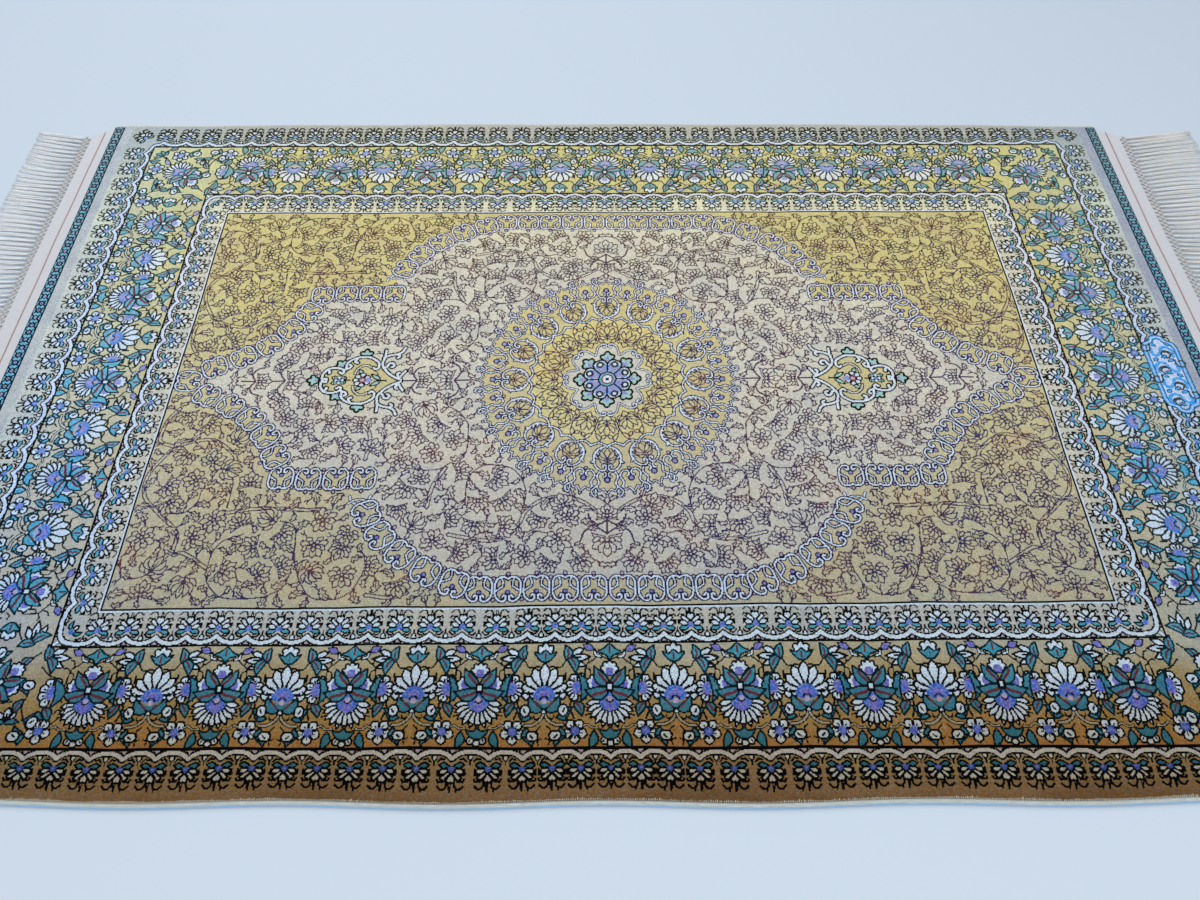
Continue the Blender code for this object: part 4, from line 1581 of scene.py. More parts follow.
@dataclass
class EdgeCord:
    """The overcast cord along a long edge and the short stitches that hold it, in mm."""

    lie: Lie
    radius: float = 2.2
    gap: float = 0.3
    wrap: float = 2.1
    ridge: float = 0.34
    around: int = 8
    per_wrap: int = 3
    flatness: float = 0.94
    thread_radius: float = 0.8
    thread_stations: int = 420
    thread_sides: int = 6
    stitch_pitch: float = 2.1
    stitch_radius: float = 0.42
    stitch_sides: int = 4

    def axis(self, x: np.ndarray, side: float) -> np.ndarray:
        """The cord's middle line."""
        edge = self.lie.far_edge(x) if side > 0 else self.lie.near_edge(x)
        return edge + side * (self.gap + self.radius)

    def spots(self, short: float, count: int) -> np.ndarray:
        """Evenly spaced places along the pile, which start short of its ends."""
        return np.linspace(-self.lie.pile_half + short, self.lie.pile_half - short, count)

    def build_cord(self, side: float, material: bpy.types.Material) -> bpy.types.Object:
        """The cord: its radius swells by ridge * |sin| once for each turn of the wrapping,
        and the ridges slant round it."""
        around = self.around
        stations = int(2.0 * (self.lie.pile_half - 0.5) / self.wrap * self.per_wrap)
        x = self.spots(0.5, stations)[:, None]
        angle = (2.0 * np.pi * np.arange(around) / around)[None, :]
        swell = self.ridge * np.abs(np.sin(np.pi * x / self.wrap + 0.5 * angle))
        taper = np.sqrt(np.clip((self.lie.pile_half - np.abs(x)) / 1.6, 0.05, 1.0))
        reach = (self.radius - self.ridge + swell) * taper
        y = self.axis(x, side) + reach * np.cos(angle)
        z = self.radius * self.flatness + reach * self.flatness * np.sin(angle)
        points = self.lie.to_frame(x, y, z).reshape(-1, 3)
        walls = grid_faces(stations, around, wrap=True)[:, ::-1]
        caps = np.stack([np.arange(around)[::-1], np.arange(around) + (stations - 1) * around])
        name = "overcast_cord_far" if side > 0 else "overcast_cord_near"
        piece = build_mesh(name, points, [walls, caps])
        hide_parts("edge_cord_far" if side > 0 else "edge_cord_near")
        return finish_piece(piece, [material])

    def build_thread(self, side: float, material: bpy.types.Material) -> bpy.types.Object:
        """The pale blue thread that runs low along the cord's outer side."""
        x = self.spots(1.0, self.thread_stations)
        y = self.axis(x, side) + side * (self.radius + 0.1 * np.sin(x / 3.1))
        line = self.lie.to_frame(x, y, 1.3 + 0.15 * np.sin(x / 2.3))[None]
        name = "edge_thread_far" if side > 0 else "edge_thread_near"
        piece = build_mesh(name, *tubes(line, self.thread_radius * MM, self.thread_sides))
        return finish_piece(piece, [material])

    def build_stitches(self, side: float, material: bpy.types.Material,
                       rng: np.random.Generator) -> bpy.types.Object:
        """Short stitches from the cord over the pile's edge, each a bent strand."""
        count = int(2.0 * (self.lie.pile_half - 3.0) / self.stitch_pitch)
        x = self.spots(3.0, count) + rng.normal(0.0, 0.16, count)
        length = 3.4 + 1.1 * np.abs(rng.normal(0.0, 1.0, count)) + 1.2 * np.sin(x / 23.0) ** 2
        share = np.linspace(0.0, 1.0, 4)[None, :]
        y = self.axis(x, side)[:, None] + side * 0.9 - side * (length[:, None] + 3.0) * share
        z = 2.6 + 2.6 * np.sin(np.pi * np.clip(share * 0.9 + 0.12, 0.0, 1.0)) - 0.9 * share
        slant = 0.35 + 0.25 * rng.random(count)[:, None]
        lines = self.lie.to_frame(x[:, None] + slant * share, y, z)
        name = "edge_stitches_far" if side > 0 else "edge_stitches_near"
        piece = build_mesh(name, *tubes(lines, self.stitch_radius * MM, self.stitch_sides))
        return finish_piece(piece, [material])


@dataclass
class Fringe:
    """A knotted silk fringe: rows of knots, then loose tassels of fine strands, in mm."""

    lie: Lie
    side: float
    tip: float
    wave: float
    sway: float
    tassels: int = 112
    strands: int = 13
    stations: int = 11
    strand_sides: int = 3
    strand_radius: float = 0.52
    strand_height: float = 0.6
    knot_rows: tuple[float, ...] = (792.4, 796.6, 800.8)
    knot_shifts: tuple[float, ...] = (0.0, 0.5, 0.0)
    knot_radius: float = 1.45
    knot_rings: int = 5
    knot_sides: int = 8
    bundle_radius: float = 0.75
    bundle_sides: int = 4
    first_gap: float = 1.6
    spread: float = 18.0

    def rows(self, shift: float = 0.0) -> np.ndarray:
        """The tassels' places across the rug's end; shift counts in tassels."""
        x = np.array(self.side * self.lie.cloth_half)
        low, high = self.lie.near_edge(x), self.lie.far_edge(x)
        return low + (np.arange(self.tassels) + 0.5 + shift) * (high - low) / self.tassels

    def build_tassels(self, material: bpy.types.Material, rng: np.random.Generator) -> bpy.types.Object:
        """The loose tassels.

        A strand runs outwards from the last row of knots. Its sideways shift is the sway
        that all tassels share, which bends once and flicks at the tip, plus the fringe's
        spread and the strand's own place in its tassel, which opens like t ** 0.6, plus a
        small wave of its own; it sags from the knot's height to the floor.
        """
        y0 = self.rows()[:, None, None]
        t = np.linspace(0.0, 1.0, self.stations)[None, None, :]
        shape = (self.tassels, self.strands, 1)
        half = float(abs(self.rows()[0] - self.rows()[-1])) * 0.5
        start = self.knot_rows[-1]
        length = (self.tip - start) * (1.0 - 0.06 * rng.random(shape) ** 2)
        length *= 1.0 - 0.035 * rng.random((self.tassels, 1, 1))
        phase = 2.0 * np.pi * y0 * MM / self.wave
        bow, flick = 0.6 * np.sin(np.pi * t) * np.sin(phase), 0.4 * t**2 * np.sin(2.3 * phase + 0.7)
        sway = self.sway * (bow + flick)
        own = 0.9 * rng.normal(0.0, 1.0, (self.tassels, 1, 1)) * t**1.5
        place = np.linspace(-1.0, 1.0, self.strands)[None, :, None] + 0.25 * rng.normal(0.0, 1.0, shape)
        pitch = abs(float(self.rows()[1] - self.rows()[0]))
        fan = pitch * 0.44 * place * (0.22 + 0.78 * t**0.6) * (1.0 - 0.25 * t)
        ripple_phase = rng.random(shape) * 6.28
        ripple = 0.45 * t * np.sin(2.0 * np.pi * (1.6 + rng.random(shape)) * t + ripple_phase)
        y = y0 + sway + own + fan + ripple + self.spread * t * y0 / half
        layer = rng.random(shape)
        sag = (2.3 * (1.0 - t) ** 2 + 0.5) * (0.15 + 0.85 * layer)
        z = self.strand_radius + sag + 0.25 * np.abs(ripple)
        lines = in_frame(self.side * (start + length * t), y, z).reshape(-1, self.stations, 3)
        taper = 1.0 - 0.45 * np.linspace(0.0, 1.0, self.stations) ** 3
        radius = self.strand_radius * MM * taper[None, :]
        points, faces = tubes(lines, radius, self.strand_sides, self.strand_height)
        piece = build_mesh("tassels_left" if self.side < 0 else "tassels_right", points, faces)
        # Painted shade: a tassel's outer strands and its lower ones are painted darker, warm brown, as in
        # their neighbours' shade, over a random tone of their own.
        middle = 1.0 - np.clip(np.abs(place), 0.0, 1.0) ** 4
        tone = (0.7 * middle + 0.3 * rng.random(shape) * (0.4 + 0.6 * layer)).ravel()
        strand_tone_and_shade = piece.data.attributes.new("strand_tone_and_shade", "FLOAT", "POINT")
        strand_tone_and_shade.data.foreach_set(
            "value", np.repeat(tone, self.stations * self.strand_sides).astype(np.float32))
        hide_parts("fringe_left" if self.side < 0 else "fringe_right")
        return finish_piece(piece, [material])

    def bundles(self) -> np.ndarray:
        """The pairs of warp bundles that cross between the rows of knots, each from a knot to
        the next row's, half a pitch aside."""
        t = np.linspace(0.0, 1.0, 4)[None, :]
        stops = (self.lie.cloth_half - 1.2,) + self.knot_rows
        shifts = (0.0,) + self.knot_shifts
        lines = []
        for row in range(len(self.knot_rows)):
            for way in (-1.0, 1.0):
                before = self.rows(way * shifts[row]) + (way * self.first_gap if row == 0 else 0.0)
                after = self.rows(way * shifts[row + 1])
                x = self.side * (stops[row] + (stops[row + 1] - stops[row]) * t)
                z = 1.3 + 0.5 * np.sin(np.pi * t) * (1.0 if way > 0 else 0.4)
                lines.append(in_frame(x, before[:, None] + (after - before)[:, None] * t, z))
        return np.concatenate(lines)

    def build_lattice(self, material: bpy.types.Material, rng: np.random.Generator) -> bpy.types.Object:
        """The rows of knots and the bundles between them.

        A knot is a squashed ball: radius * (cos a cos b, 1.25 sin a cos b, 0.85 sin b), with
        grooves across it.
        """
        x = np.repeat(self.side * np.array(self.knot_rows), self.tassels)
        y = np.concatenate([self.rows(shift) for shift in self.knot_shifts])
        x = x + rng.normal(0.0, 0.25, x.size)
        y = y + rng.normal(0.0, 0.25, y.size)
        rings, sides = self.knot_rings, self.knot_sides
        a = (2.0 * np.pi * np.arange(sides) / sides)[None, None, :]
        b = np.linspace(-0.5 * np.pi + 0.12, 0.5 * np.pi - 0.12, rings)[None, :, None]
        swell = self.knot_radius * (1.0 + 0.10 * np.cos(3.0 * a + 2.0 * b))
        points = in_frame(x[:, None, None] + swell * np.cos(a) * np.cos(b),
                          y[:, None, None] + 1.25 * swell * np.sin(a) * np.cos(b),
                          1.75 + 0.85 * swell * np.sin(b)).reshape(-1, 3)
        offset = np.arange(x.size)[:, None] * rings * sides
        walls = (grid_faces(rings, sides, wrap=True)[:, ::-1].ravel()[None] + offset).reshape(-1, 4)
        cap = np.arange(sides)[None]
        caps = np.concatenate([cap[:, ::-1] + offset, cap + (rings - 1) * sides + offset])
        bundle_points, bundle_faces = tubes(self.bundles(), self.bundle_radius * MM, self.bundle_sides)
        faces = [walls, caps] + [faces + len(points) for faces in bundle_faces]
        piece = build_mesh("knots_left" if self.side < 0 else "knots_right",
                           np.concatenate([points, bundle_points]), faces)
        return finish_piece(piece, [material])


# ------------------------------------------------------------------ finishes
def linear(hex_colour: str) -> tuple[float, float, float, float]:
    """An sRGB hex colour as the linear colour that a shader takes."""
    channels = [int(hex_colour[i:i + 2], 16) / 255.0 for i in (1, 3, 5)]
    r, g, b = (c / 12.92 if c <= 0.04045 else ((c + 0.055) / 1.055) ** 2.4 for c in channels)
    return r, g, b, 1.0


Value = bpy.types.NodeSocket | float
FULL_SIZE = (1.0, 1.0, 1.0)


class Nodes:
    """A material's nodes: each small function adds one kind of node and returns its output."""

    def __init__(self, material: bpy.types.Material) -> None:
        self.material, self.tree = material, material.node_tree
        self.shader = self.tree.nodes["Principled BSDF"]

    def add(self, kind: str, inputs: dict, **settings: object) -> bpy.types.Node:
        """Add a node.

        Args:
            kind: the node's type, without its ShaderNode prefix.
            inputs: for an input's name or number, its value or the output that feeds it.
            settings: the node's own properties.
        """
        node = self.tree.nodes.new("ShaderNode" + kind)
        for name, value in settings.items():
            setattr(node, name, value)
        for name, value in inputs.items():
            if isinstance(value, bpy.types.NodeSocket):
                self.tree.links.new(value, node.inputs[name])
            else:
                node.inputs[name].default_value = value
        return node

    def place(self, scale: tuple[float, float, float] = FULL_SIZE) -> Value:
        """The object's own coordinates, in mm, stretched where a pattern needs it."""
        spot = self.add("TexCoord", {}).outputs["Object"]
        factors = tuple(1000.0 * s for s in scale)
        return self.add("Mapping", {"Vector": spot, "Scale": factors}).outputs["Vector"]

    def noise(self, scale: tuple[float, float, float], **inputs: float) -> Value:
        """Smooth noise over the stretched millimetres."""
        return self.add("TexNoise", {"Vector": self.place(scale), "Scale": 1.0, **inputs}).outputs["Fac"]

    def squares(self, scale: tuple[float, float, float]) -> Value:
        """A random number for each square of the stretched millimetres."""
        cell = self.add("VectorMath", {0: self.place(scale)}, operation="FLOOR").outputs["Vector"]
        return self.add("TexWhiteNoise", {"Vector": cell}, noise_dimensions="3D").outputs["Value"]

    def math(self, operation: str, *values: Value) -> Value:
        """Arithmetic on one to three values."""
        return self.add("Math", dict(enumerate(values)), operation=operation).outputs[0]

    def spread(self, value: Value, low: float, high: float, to_low: float = 0.0, to_high: Value = 1.0,
               **settings: str) -> Value:
        """A value between low and high drawn out between two others."""
        ends = {"Value": value, "From Min": low, "From Max": high, "To Min": to_low, "To Max": to_high}
        return self.add("MapRange", ends, **settings).outputs["Result"]

    def mix(self, share: Value, a: Value | tuple, b: Value | tuple, blend: str = "MIX") -> Value:
        """A blend of two colours."""
        return self.add("Mix", {"Factor": share, "A": a, "B": b}, data_type="RGBA",
                        blend_type=blend).outputs["Result"]

    def finish(self, colour: Value, height: Value | None = None, strength: float = 0.0,
               distance: float = 0.0) -> bpy.types.Material:
        """Feed the shader its colour and, from a height, its bump."""
        self.tree.links.new(colour, self.shader.inputs["Base Color"])
        if height is not None:
            bump = self.add("Bump", {"Height": height, "Strength": strength, "Distance": distance})
            self.tree.links.new(bump.outputs["Normal"], self.shader.inputs["Normal"])
        return self.material


@dataclass(frozen=True)
class Cloth:
    """What every finish here sets on its shader."""

    name: str
    roughness: float = 0.6
    specular: float = 0.3
    sheen: float = 0.0
    sheen_roughness: float = 0.5

    def start(self) -> Nodes:
        """A new material's nodes."""
        material = bpy.data.materials.new(self.name)
        material.use_nodes = True
        nodes = Nodes(material)
        for name, value in (("Roughness", self.roughness), ("Specular IOR Level", self.specular),
                            ("Sheen Weight", self.sheen), ("Sheen Roughness", self.sheen_roughness)):
            nodes.shader.inputs[name].default_value = value
        return nodes


@dataclass(frozen=True)
class CutSilkPile(Cloth):
    """Cut silk pile, dyed in the yarn and knotted.

    To the eye it is a soft, even sheen with a grain of single knots, each a little
    lighter or darker than the next, and the dye drifts across the rug. The colour also
    holds painted light: the pile, which leans to the near side, is painted lighter far
    away with painted sheen, and deeper and warmer near with painted shade.

    The stops hold the colour at some distances across the rug, in mm from the near edge
    (-500) to the far one (500): the yarn's dye with that painted sheen and shade. patches
    is how strongly it drifts in broad clouds, and blush is the warmer tone that other
    clouds take, where the dye has one. Clouds and blush stay off the near side, and each
    end is painted with a light of its own that multiplies the colour.
    """

    dye_and_light_stops: tuple[tuple[float, str], ...] = ((-500.0, "#808080"), (500.0, "#808080"))
    patch: str = "#808080"
    patches: float = 0.12
    grain: float = 0.34
    blush: str = ""
    blush_share: float = 0.2
    left_light: tuple[float, float, float, float] = (0.88, 1.02, 1.22, 1.0)
    right_light: tuple[float, float, float, float] = (0.78, 0.90, 1.08, 1.0)
    reach: float = 505.0
    near_side: tuple[float, float] = (-450.0, -320.0)
    left_end: tuple[float, float] = (-470.0, -740.0)
    right_end: tuple[float, float] = (530.0, 720.0)

    def build(self) -> bpy.types.Material:
        """Build the material."""
        nodes = self.start()
        parts = nodes.add("SeparateXYZ", {"Vector": nodes.place()})
        across = parts.outputs["Y"]
        drift = nodes.noise((0.006, 0.011, 0.01), Detail=3.0, Roughness=0.6)
        place = nodes.math("ADD", across, nodes.math("MULTIPLY_ADD", drift, 70.0, -35.0))
        # The ramp paints the pile's sheen far away and its shade near, together with the dye.
        ramp = nodes.add("ValToRGB", {"Fac": nodes.spread(place, -self.reach, self.reach)})
        stops = ramp.color_ramp.elements
        while len(stops) < len(self.dye_and_light_stops):
            stops.new(0.5)
        for stop, (y, colour) in zip(stops, self.dye_and_light_stops):
            stop.position = (y + self.reach) / (2.0 * self.reach)
            stop.color = linear(colour)
        lit = ramp.outputs["Color"]
        clouds = [(self.patch, 4.0 * self.patches, (0.012, 0.02, 0.01), (0.42, 0.68),
                   {"Detail": 4.0, "Roughness": 0.65})]
        if self.blush:
            clouds.append((self.blush, self.blush_share, (0.016, 0.024, 0.01), (0.46, 0.66),
                           {"Detail": 3.0, "Roughness": 0.6, "Distortion": 0.6}))
        for tint, most, scale, limits, kind in clouds:
            share = nodes.spread(across, *self.near_side, to_high=most)
            share = nodes.spread(nodes.noise(scale, **kind), *limits, to_high=share)
            lit = nodes.mix(share, lit, linear(tint))
        # Painted light: each end's colour is multiplied by a light of its own.
        for end, light in ((self.left_end, self.left_light), (self.right_end, self.right_light)):
            share = nodes.spread(parts.outputs["X"], *end, interpolation_type="SMOOTHSTEP")
            lit = nodes.mix(share, lit, light, "MULTIPLY")
        fibre = nodes.noise((0.35, 0.9, 0.5), Detail=3.0, Roughness=0.7)
        height = nodes.math("MULTIPLY_ADD", nodes.squares((1.0, 1.0, 0.0)), 0.4, fibre)
        value = nodes.spread(height, 0.4, 1.0, 1.0 - self.grain, 1.0 + self.grain)
        depth = nodes.spread(nodes.noise((0.4, 0.4, 0.4)), 0.3, 0.7, 0.7, 1.3)
        colour = nodes.add("HueSaturation", {"Color": lit, "Saturation": depth, "Value": value})
        return nodes.finish(colour.outputs["Color"], height, 0.35, 0.0006)


@dataclass(frozen=True)
class WovenSilk(Cloth):
    """Undyed flat-woven silk: fine ribs of weft, a little uneven, off-white and softly lustrous."""

    colour: str = "#D6D8DE"
    shade: str = "#B8B8BE"
    rib: float = 1.9

    def build(self) -> bpy.types.Material:
        """Build the material: ribs across the warps, with a slow drift of tone. The colour is
        darker where ribs and threads lie low: partly the threads' own tone, partly painted
        shade in the hollows.
        """
        nodes = self.start()
        spot = nodes.place()
        waver = nodes.add("TexNoise", {"Vector": spot, "Scale": 0.03, "Detail": 3.0}).outputs["Fac"]
        along = nodes.add("SeparateXYZ", {"Vector": spot}).outputs["X"]
        rows = nodes.math("MULTIPLY", along, 2.0 * math.pi / self.rib)
        wave = nodes.math("SINE", nodes.math("MULTIPLY_ADD", waver, 9.0, rows))
        threads = nodes.noise((0.12, 1.4, 1.0), Detail=4.0, Roughness=0.75)
        height = nodes.math("MULTIPLY_ADD", wave, 0.18, threads)
        # Painted shade: the low parts of the ribs take the shade colour.
        colour = nodes.mix(nodes.spread(height, 0.25, 0.8), linear(self.shade), linear(self.colour))
        return nodes.finish(colour, height, 0.5, 0.0005)


@dataclass(frozen=True)
class SilkStrand(Cloth):
    """Loose or twisted silk thread, its colour mixed from a bright, slightly blue white and
    a warm brown along fine streaks; where it reads a strand's attribute, that brown is also
    painted shade on the strands that lie in the shade of their neighbours."""

    light: str = "#FAFCFE"
    dark: str = "#C4AA8A"
    attribute: str = ""

    def build(self) -> bpy.types.Material:
        """Build the material: fine streaks along the thread, and a tone and painted shade for each strand."""
        nodes = self.start()
        streaks = nodes.noise((0.10, 1.6, 1.6), Detail=3.0, Roughness=0.7)
        if self.attribute:
            strand = nodes.add("Attribute", {}, attribute_name=self.attribute).outputs["Fac"]
            tone = nodes.spread(nodes.math("MULTIPLY_ADD", strand, 1.1, streaks), 0.3, 0.58)
        else:
            tone = nodes.spread(streaks, 0.3, 0.7)
        return nodes.finish(nodes.mix(tone, linear(self.dark), linear(self.light)), streaks, 0.3, 0.0003)


@dataclass(frozen=True)
class KnottedBack(Cloth):
    """The back of a knotted rug: rows of flat knot loops between thin wefts."""

    colour: str = "#B9AE8E"
    weft: str = "#D9D6CC"

    def build(self) -> bpy.types.Material:
        """Build the material: a grid of loops, drawn 2 mm apart so that it shows."""
        nodes = self.start()
        clouds = nodes.noise((0.02, 0.02, 0.02), Detail=4.0)
        height = nodes.math("MULTIPLY_ADD", nodes.squares((0.5, 0.5, 0.0)), 0.5, clouds)
        colour = nodes.mix(nodes.spread(height, 0.3, 1.1), linear(self.colour), linear(self.weft))
        return nodes.finish(colour, height, 0.4, 0.0006)


SILK = {"roughness": 0.62, "specular": 0.25, "sheen": 0.12, "sheen_roughness": 0.4}
# The dark yarns' right_light paints a strong light onto them at the right end.
DARK_SILK = {"roughness": 0.8, "specular": 0.04, "right_light": (2.4, 2.2, 1.8, 1.0)}
def dye(name: str, patch: str, patches: float, *dye_and_light_stops: tuple[float, str], base: dict = SILK,
        **more: object) -> CutSilkPile:
    """A yarn's dyed pile; each stop is a place across the rug, in mm, and the colour there,
    which holds painted sheen and shade as well as the dye.
    """
    return CutSilkPile(name + "_silk_pile", **base, patch=patch, patches=patches, dye_and_light_stops=dye_and_light_stops, **more)


# Each yarn's stops hold its dye with the pile's painted sheen far away and painted shade near.
DYES: dict[Yarn, CutSilkPile] = {
    GOLD: dye("gold", "#B0A686", 0.1, (-450, "#825418"), (-420, "#806028"), (-380, "#8A7850"),
        (-340, "#989888"), (-150, "#B2AD90"), (0, "#C2B98A"), (150, "#CABE7E"), (300, "#C8BE7E"),
        (450, "#CCC47C"), blush="#C4A468", left_light=(0.92, 1.10, 1.75, 1.0),
        right_light=(0.84, 1.00, 1.50, 1.0)),
    HONEY: dye("honey", "#B8AC80", 0.1, (-150, "#BEB68C"), (0, "#CEC385"), (150, "#D2C478"), blush="#C8A868"),
    CREAM: dye("cream", "#A2A6AC", 0.12, (-500, "#5C401E"), (-488, "#6A4E2E"), (-465, "#725834"),
        (-445, "#80704A"), (-340, "#9CA09E"), (-200, "#B4B2A8"), (0, "#CAC7B8"), (230, "#CEC8B2"),
        (300, "#DCD8B6"), (345, "#D4D0AE"), (455, "#AEB0A6"), (480, "#A8A89C"), blush="#C8B894"),
    WHITE: dye("white", "#B0BCCC", 0.1, (-480, "#948A78"), (-450, "#9E9C90"), (-400, "#AEBAC6"),
        (-360, "#B4C6D4"), (0, "#CED8E2"), (250, "#DCE0DC"), (480, "#D6DAD6")),
    ICE: dye("pale_blue", "#A8B6CE", 0.08, (-480, "#8E8270"), (-440, "#A29C92"), (-350, "#BACAD4"),
        (-280, "#B8CADE"), (0, "#CCD6E4"), (280, "#D6D8E0"), (480, "#CAD4DA")),
    TEAL: dye("teal", "#5A98A8", 0.1, (-450, "#145058"), (-390, "#226478"), (-330, "#34869E"),
        (-120, "#52A2C2"), (0, "#6AAABC"), (330, "#76A6A6"), (460, "#7CA09C")),
    DEEP_TEAL: dye("deep_teal", "#16404A", 0.08, (-450, "#040E10"), (-390, "#06181E"), (0, "#123640"),
        (330, "#2A443E"), (460, "#323E32"), base=DARK_SILK),
    LILAC: dye("lilac", "#7C88CC", 0.1, (-450, "#50508C"), (-380, "#5E5EA6"), (-250, "#6A6CB2"),
        (0, "#9090C0"), (450, "#A0A2BE")),
    BLUE: dye("cornflower", "#5C7CC4", 0.1, (-470, "#22396C"), (-420, "#345098"), (-380, "#4062B0"),
        (-100, "#5884C4"), (450, "#7690BC")),
    SKY: dye("sky_blue", "#4AA0D4", 0.1, (-450, "#1E5468"), (-150, "#3492D2"), (100, "#4EA6E0"),
        (450, "#78B0C8")),
    AQUA: dye("pale_aqua", "#9CB8BC", 0.1, (-450, "#74A4A0"), (0, "#94BCB8"), (450, "#A0BEB4")),
    # Cream's copy for the rug's ends, with darker, cooler painted shade there.
    PEARL: dye("cream_painted_end_shade", "#9C9CA4", 0.12, (-500, "#5A4426"), (-400, "#8E8A80"), (-200, "#B4B2A8"),
        (0, "#CAC7B8"), (480, "#C6C4B8"), left_light=(0.76, 0.87, 1.08, 1.0),
        right_light=(0.60, 0.68, 0.94, 1.0)),
    PINK: dye("pale_pink", "#A898B4", 0.08, (-460, "#8A7874"), (-380, "#9C90A8"), (200, "#BCACBC"),
        (450, "#BEB0AE")),
    RED: dye("madder_red", "#5A1028", 0.08, (-430, "#4C081A"), (0, "#70142C"), (450, "#8A2838")),
    BLACK: dye("black", "#14181A", 0.06, (-450, "#030303"), (-380, "#070A0C"), (-300, "#12181A"),
        (-150, "#202828"), (0, "#262E2C"), (450, "#2E2E22"), base=DARK_SILK),
    OLIVE: dye("olive_black", "#1C1C12", 0.06, (-450, "#020201"), (-330, "#070907"), (0, "#14160C"),
        (450, "#2A2A18"), base=DARK_SILK),
    MAUVE: dye("mauve", "#4A3038", 0.12, (-300, "#2E2C50"), (-120, "#36325A"), (120, "#463E58"),
        (300, "#504438"), base=DARK_SILK, blush="#663C38", blush_share=0.6),
    VIOLET: dye("violet", "#36243C", 0.12, (-300, "#1E1838"), (-100, "#26203C"), (120, "#362C46"),
        (300, "#403648"), base=DARK_SILK),
    NAVY: dye("navy", "#101E30", 0.06, (-450, "#06101A"), (0, "#0A1A2A"), (450, "#16262E"), base=DARK_SILK),
}


# ------------------------------------------------------------------ stage
@dataclass
class Stage:
    """The pale floor, the soft studio light and the camera, sizes in metres.

    The camera stands above the near edge and looks down 57 degrees; its focal length
    comes from 900 pixels over a picture 1200 pixels wide.
    """

    floor_size: float = 12.0
    floor_points: int = 13
    camera_spot: tuple[float, float, float] = (-0.0236, -0.6842, 0.901)
    pitch: float = 57.0
    roll: float = -0.177
    focal_pixels: float = 900.0
    picture_width: float = 1200.0
    sensor: float = 36.0

    def build(self) -> None:
        """Build all of it."""
        self.build_floor()
        self.build_lights()
        self.build_camera()
        bpy.context.scene.view_settings.view_transform = "Standard"

    def build_floor(self) -> None:
        """A plain pale floor, a little deeper in tone behind the rug: painted shade."""
        half, count = self.floor_size * 0.5, self.floor_points
        x, y = np.meshgrid(*[np.linspace(-half, half, count)] * 2, indexing="ij")
        points = np.stack([x, y, np.zeros_like(x)], axis=-1).reshape(-1, 3)
        floor = build_mesh("floor", points, [grid_faces(count, count)], smooth=False)
        nodes = Cloth("pale_matt_floor", roughness=0.7, specular=0.2).start()
        spot = nodes.add("TexCoord", {}).outputs["Object"]
        away = nodes.add("SeparateXYZ", {"Vector": spot}).outputs["Y"]
        tone = nodes.mix(nodes.spread(away, -0.6, 0.9), linear("#CEDAE7"), linear("#BCC8D6"))
        floor.data.materials.append(nodes.finish(tone))

    def build_lights(self) -> None:
        """A bright even surround and two broad soft lights, one high behind the far edge."""
        world = bpy.data.worlds.new("studio")
        bpy.context.scene.world = world
        world.use_nodes = True
        background = world.node_tree.nodes["Background"]
        background.inputs["Color"].default_value = (0.93, 0.97, 1.0, 1.0)
        background.inputs["Strength"].default_value = 0.62
        for name, spot, size, power in (("far_light", (-0.6, 2.2, 2.6), 2.4, 62.0),
                                        ("near_light", (0.9, -2.4, 2.6), 2.2, 26.0)):
            light = bpy.data.lights.new(name, "AREA")
            light.shape = "SQUARE"
            light.size = size
            light.energy = power
            lamp = bpy.data.objects.new(name, light)
            lamp.location = spot
            lamp.rotation_euler = (-Vector(spot)).to_track_quat("-Z", "Y").to_euler()
            bpy.context.scene.collection.objects.link(lamp)

    def build_camera(self) -> None:
        """The camera, from its spot and its three axes."""
        pitch, roll = math.radians(self.pitch), math.radians(self.roll)
        right = Vector((1.0, 0.0, 0.0))
        forward = Vector((0.0, math.cos(pitch), -math.sin(pitch)))
        up = right.cross(forward)
        across = math.cos(roll) * right + math.sin(roll) * up
        upward = -math.sin(roll) * right + math.cos(roll) * up
        camera = bpy.data.cameras.new("camera")
        camera.sensor_width = self.sensor
        camera.lens = self.focal_pixels / self.picture_width * self.sensor
        camera.clip_start = 0.02
        thing = bpy.data.objects.new("camera", camera)
        turn = Matrix((across, upward, -forward)).transposed().to_4x4()
        thing.matrix_world = Matrix.Translation(self.camera_spot) @ turn
        bpy.context.scene.collection.objects.link(thing)
        bpy.context.scene.camera = thing


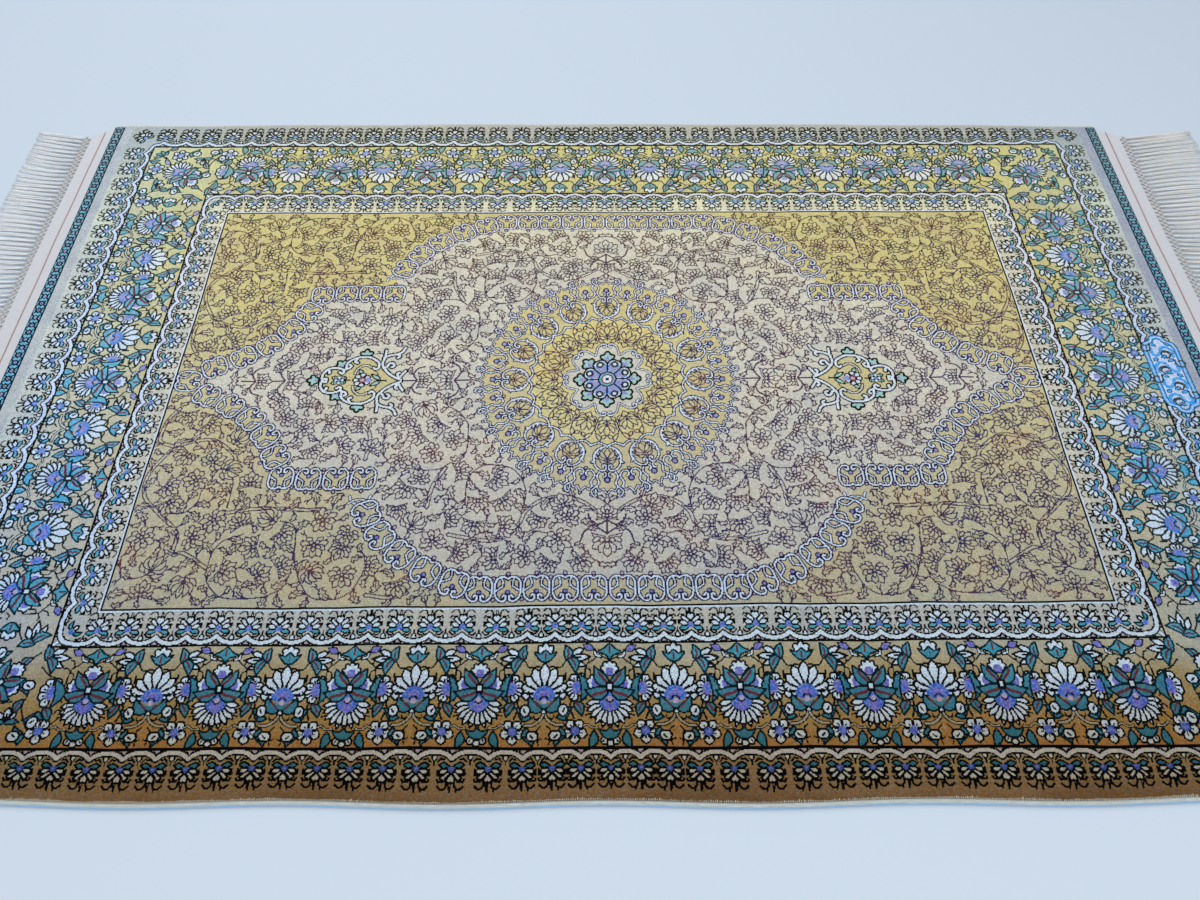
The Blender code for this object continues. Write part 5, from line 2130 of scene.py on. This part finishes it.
# ------------------------------------------------------------------ the rug
def main() -> None:
    """Build the rug and its stage in order."""
    logging.basicConfig(level=logging.INFO, format="%(message)s")
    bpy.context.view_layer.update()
    lie = Lie()
    rng = np.random.default_rng(SEED)

    chart = KnotChart().whole()
    log.info("knot chart: %d x %d knots", *chart.shape)
    dyes = {int(yarn): dye.build() for yarn, dye in DYES.items()}
    pile = Pile(lie)
    pile_pieces = [pile.weave(panel, chart, dyes) for panel in pile.panels()]

    weave = WovenSilk("flat_woven_silk", roughness=0.6, specular=0.3, sheen=0.1).build()
    back = KnottedBack("knotted_back", roughness=0.8, specular=0.2).build()
    foundation = Foundation(lie).build([dyes[int(CREAM)], weave, back])
    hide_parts("rug_body")

    twine = SilkStrand("twined_pink_brown_silk", roughness=0.55, light="#C09C94", dark="#9C7C76").build()
    lines = [TwinedLine(lie).build(side, twine) for side in (-1.0, 1.0)]

    cord_silk = SilkStrand("overcast_white_silk", roughness=0.5, sheen=0.1, light="#DCE6EC",
        dark="#A8B0AC").build()
    thread_silk = SilkStrand("pale_blue_edge_thread", roughness=0.5, light="#A9D2F4", dark="#8FBEE6").build()
    stitch_silk = SilkStrand("cream_stitching_silk", roughness=0.5, sheen=0.1, light="#E8EAE2",
        dark="#BDB8A4").build()
    cords = EdgeCord(lie)
    for side in (-1.0, 1.0):
        cords.build_cord(side, cord_silk)
        cords.build_thread(side, thread_silk)
        cords.build_stitches(side, stitch_silk, rng)

    loose = SilkStrand("loose_warp_silk", roughness=0.42, specular=0.4, sheen=0.15,
                       attribute="strand_tone_and_shade").build()
    # The right fringe's silk is a darker, warmer copy of the left's: painted shade.
    shaded = SilkStrand("loose_warp_silk_shaded", roughness=0.42, specular=0.4, sheen=0.15,
                        light="#F6F5F1", dark="#B89E80", attribute="strand_tone_and_shade").build()
    knotted = SilkStrand("knotted_warp_silk", roughness=0.5, light="#EEF0F2", dark="#A8937E").build()
    left, right = Fringe(lie, -1.0, 877.0, 0.23, 3.5), Fringe(lie, 1.0, 908.0, 0.31, 5.0)
    for fringe, silk in ((left, loose), (right, shaded)):
        fringe.build_tassels(silk, rng)
        fringe.build_lattice(knotted, rng)

    Stage().build()


if __name__ == "__main__":
    main()
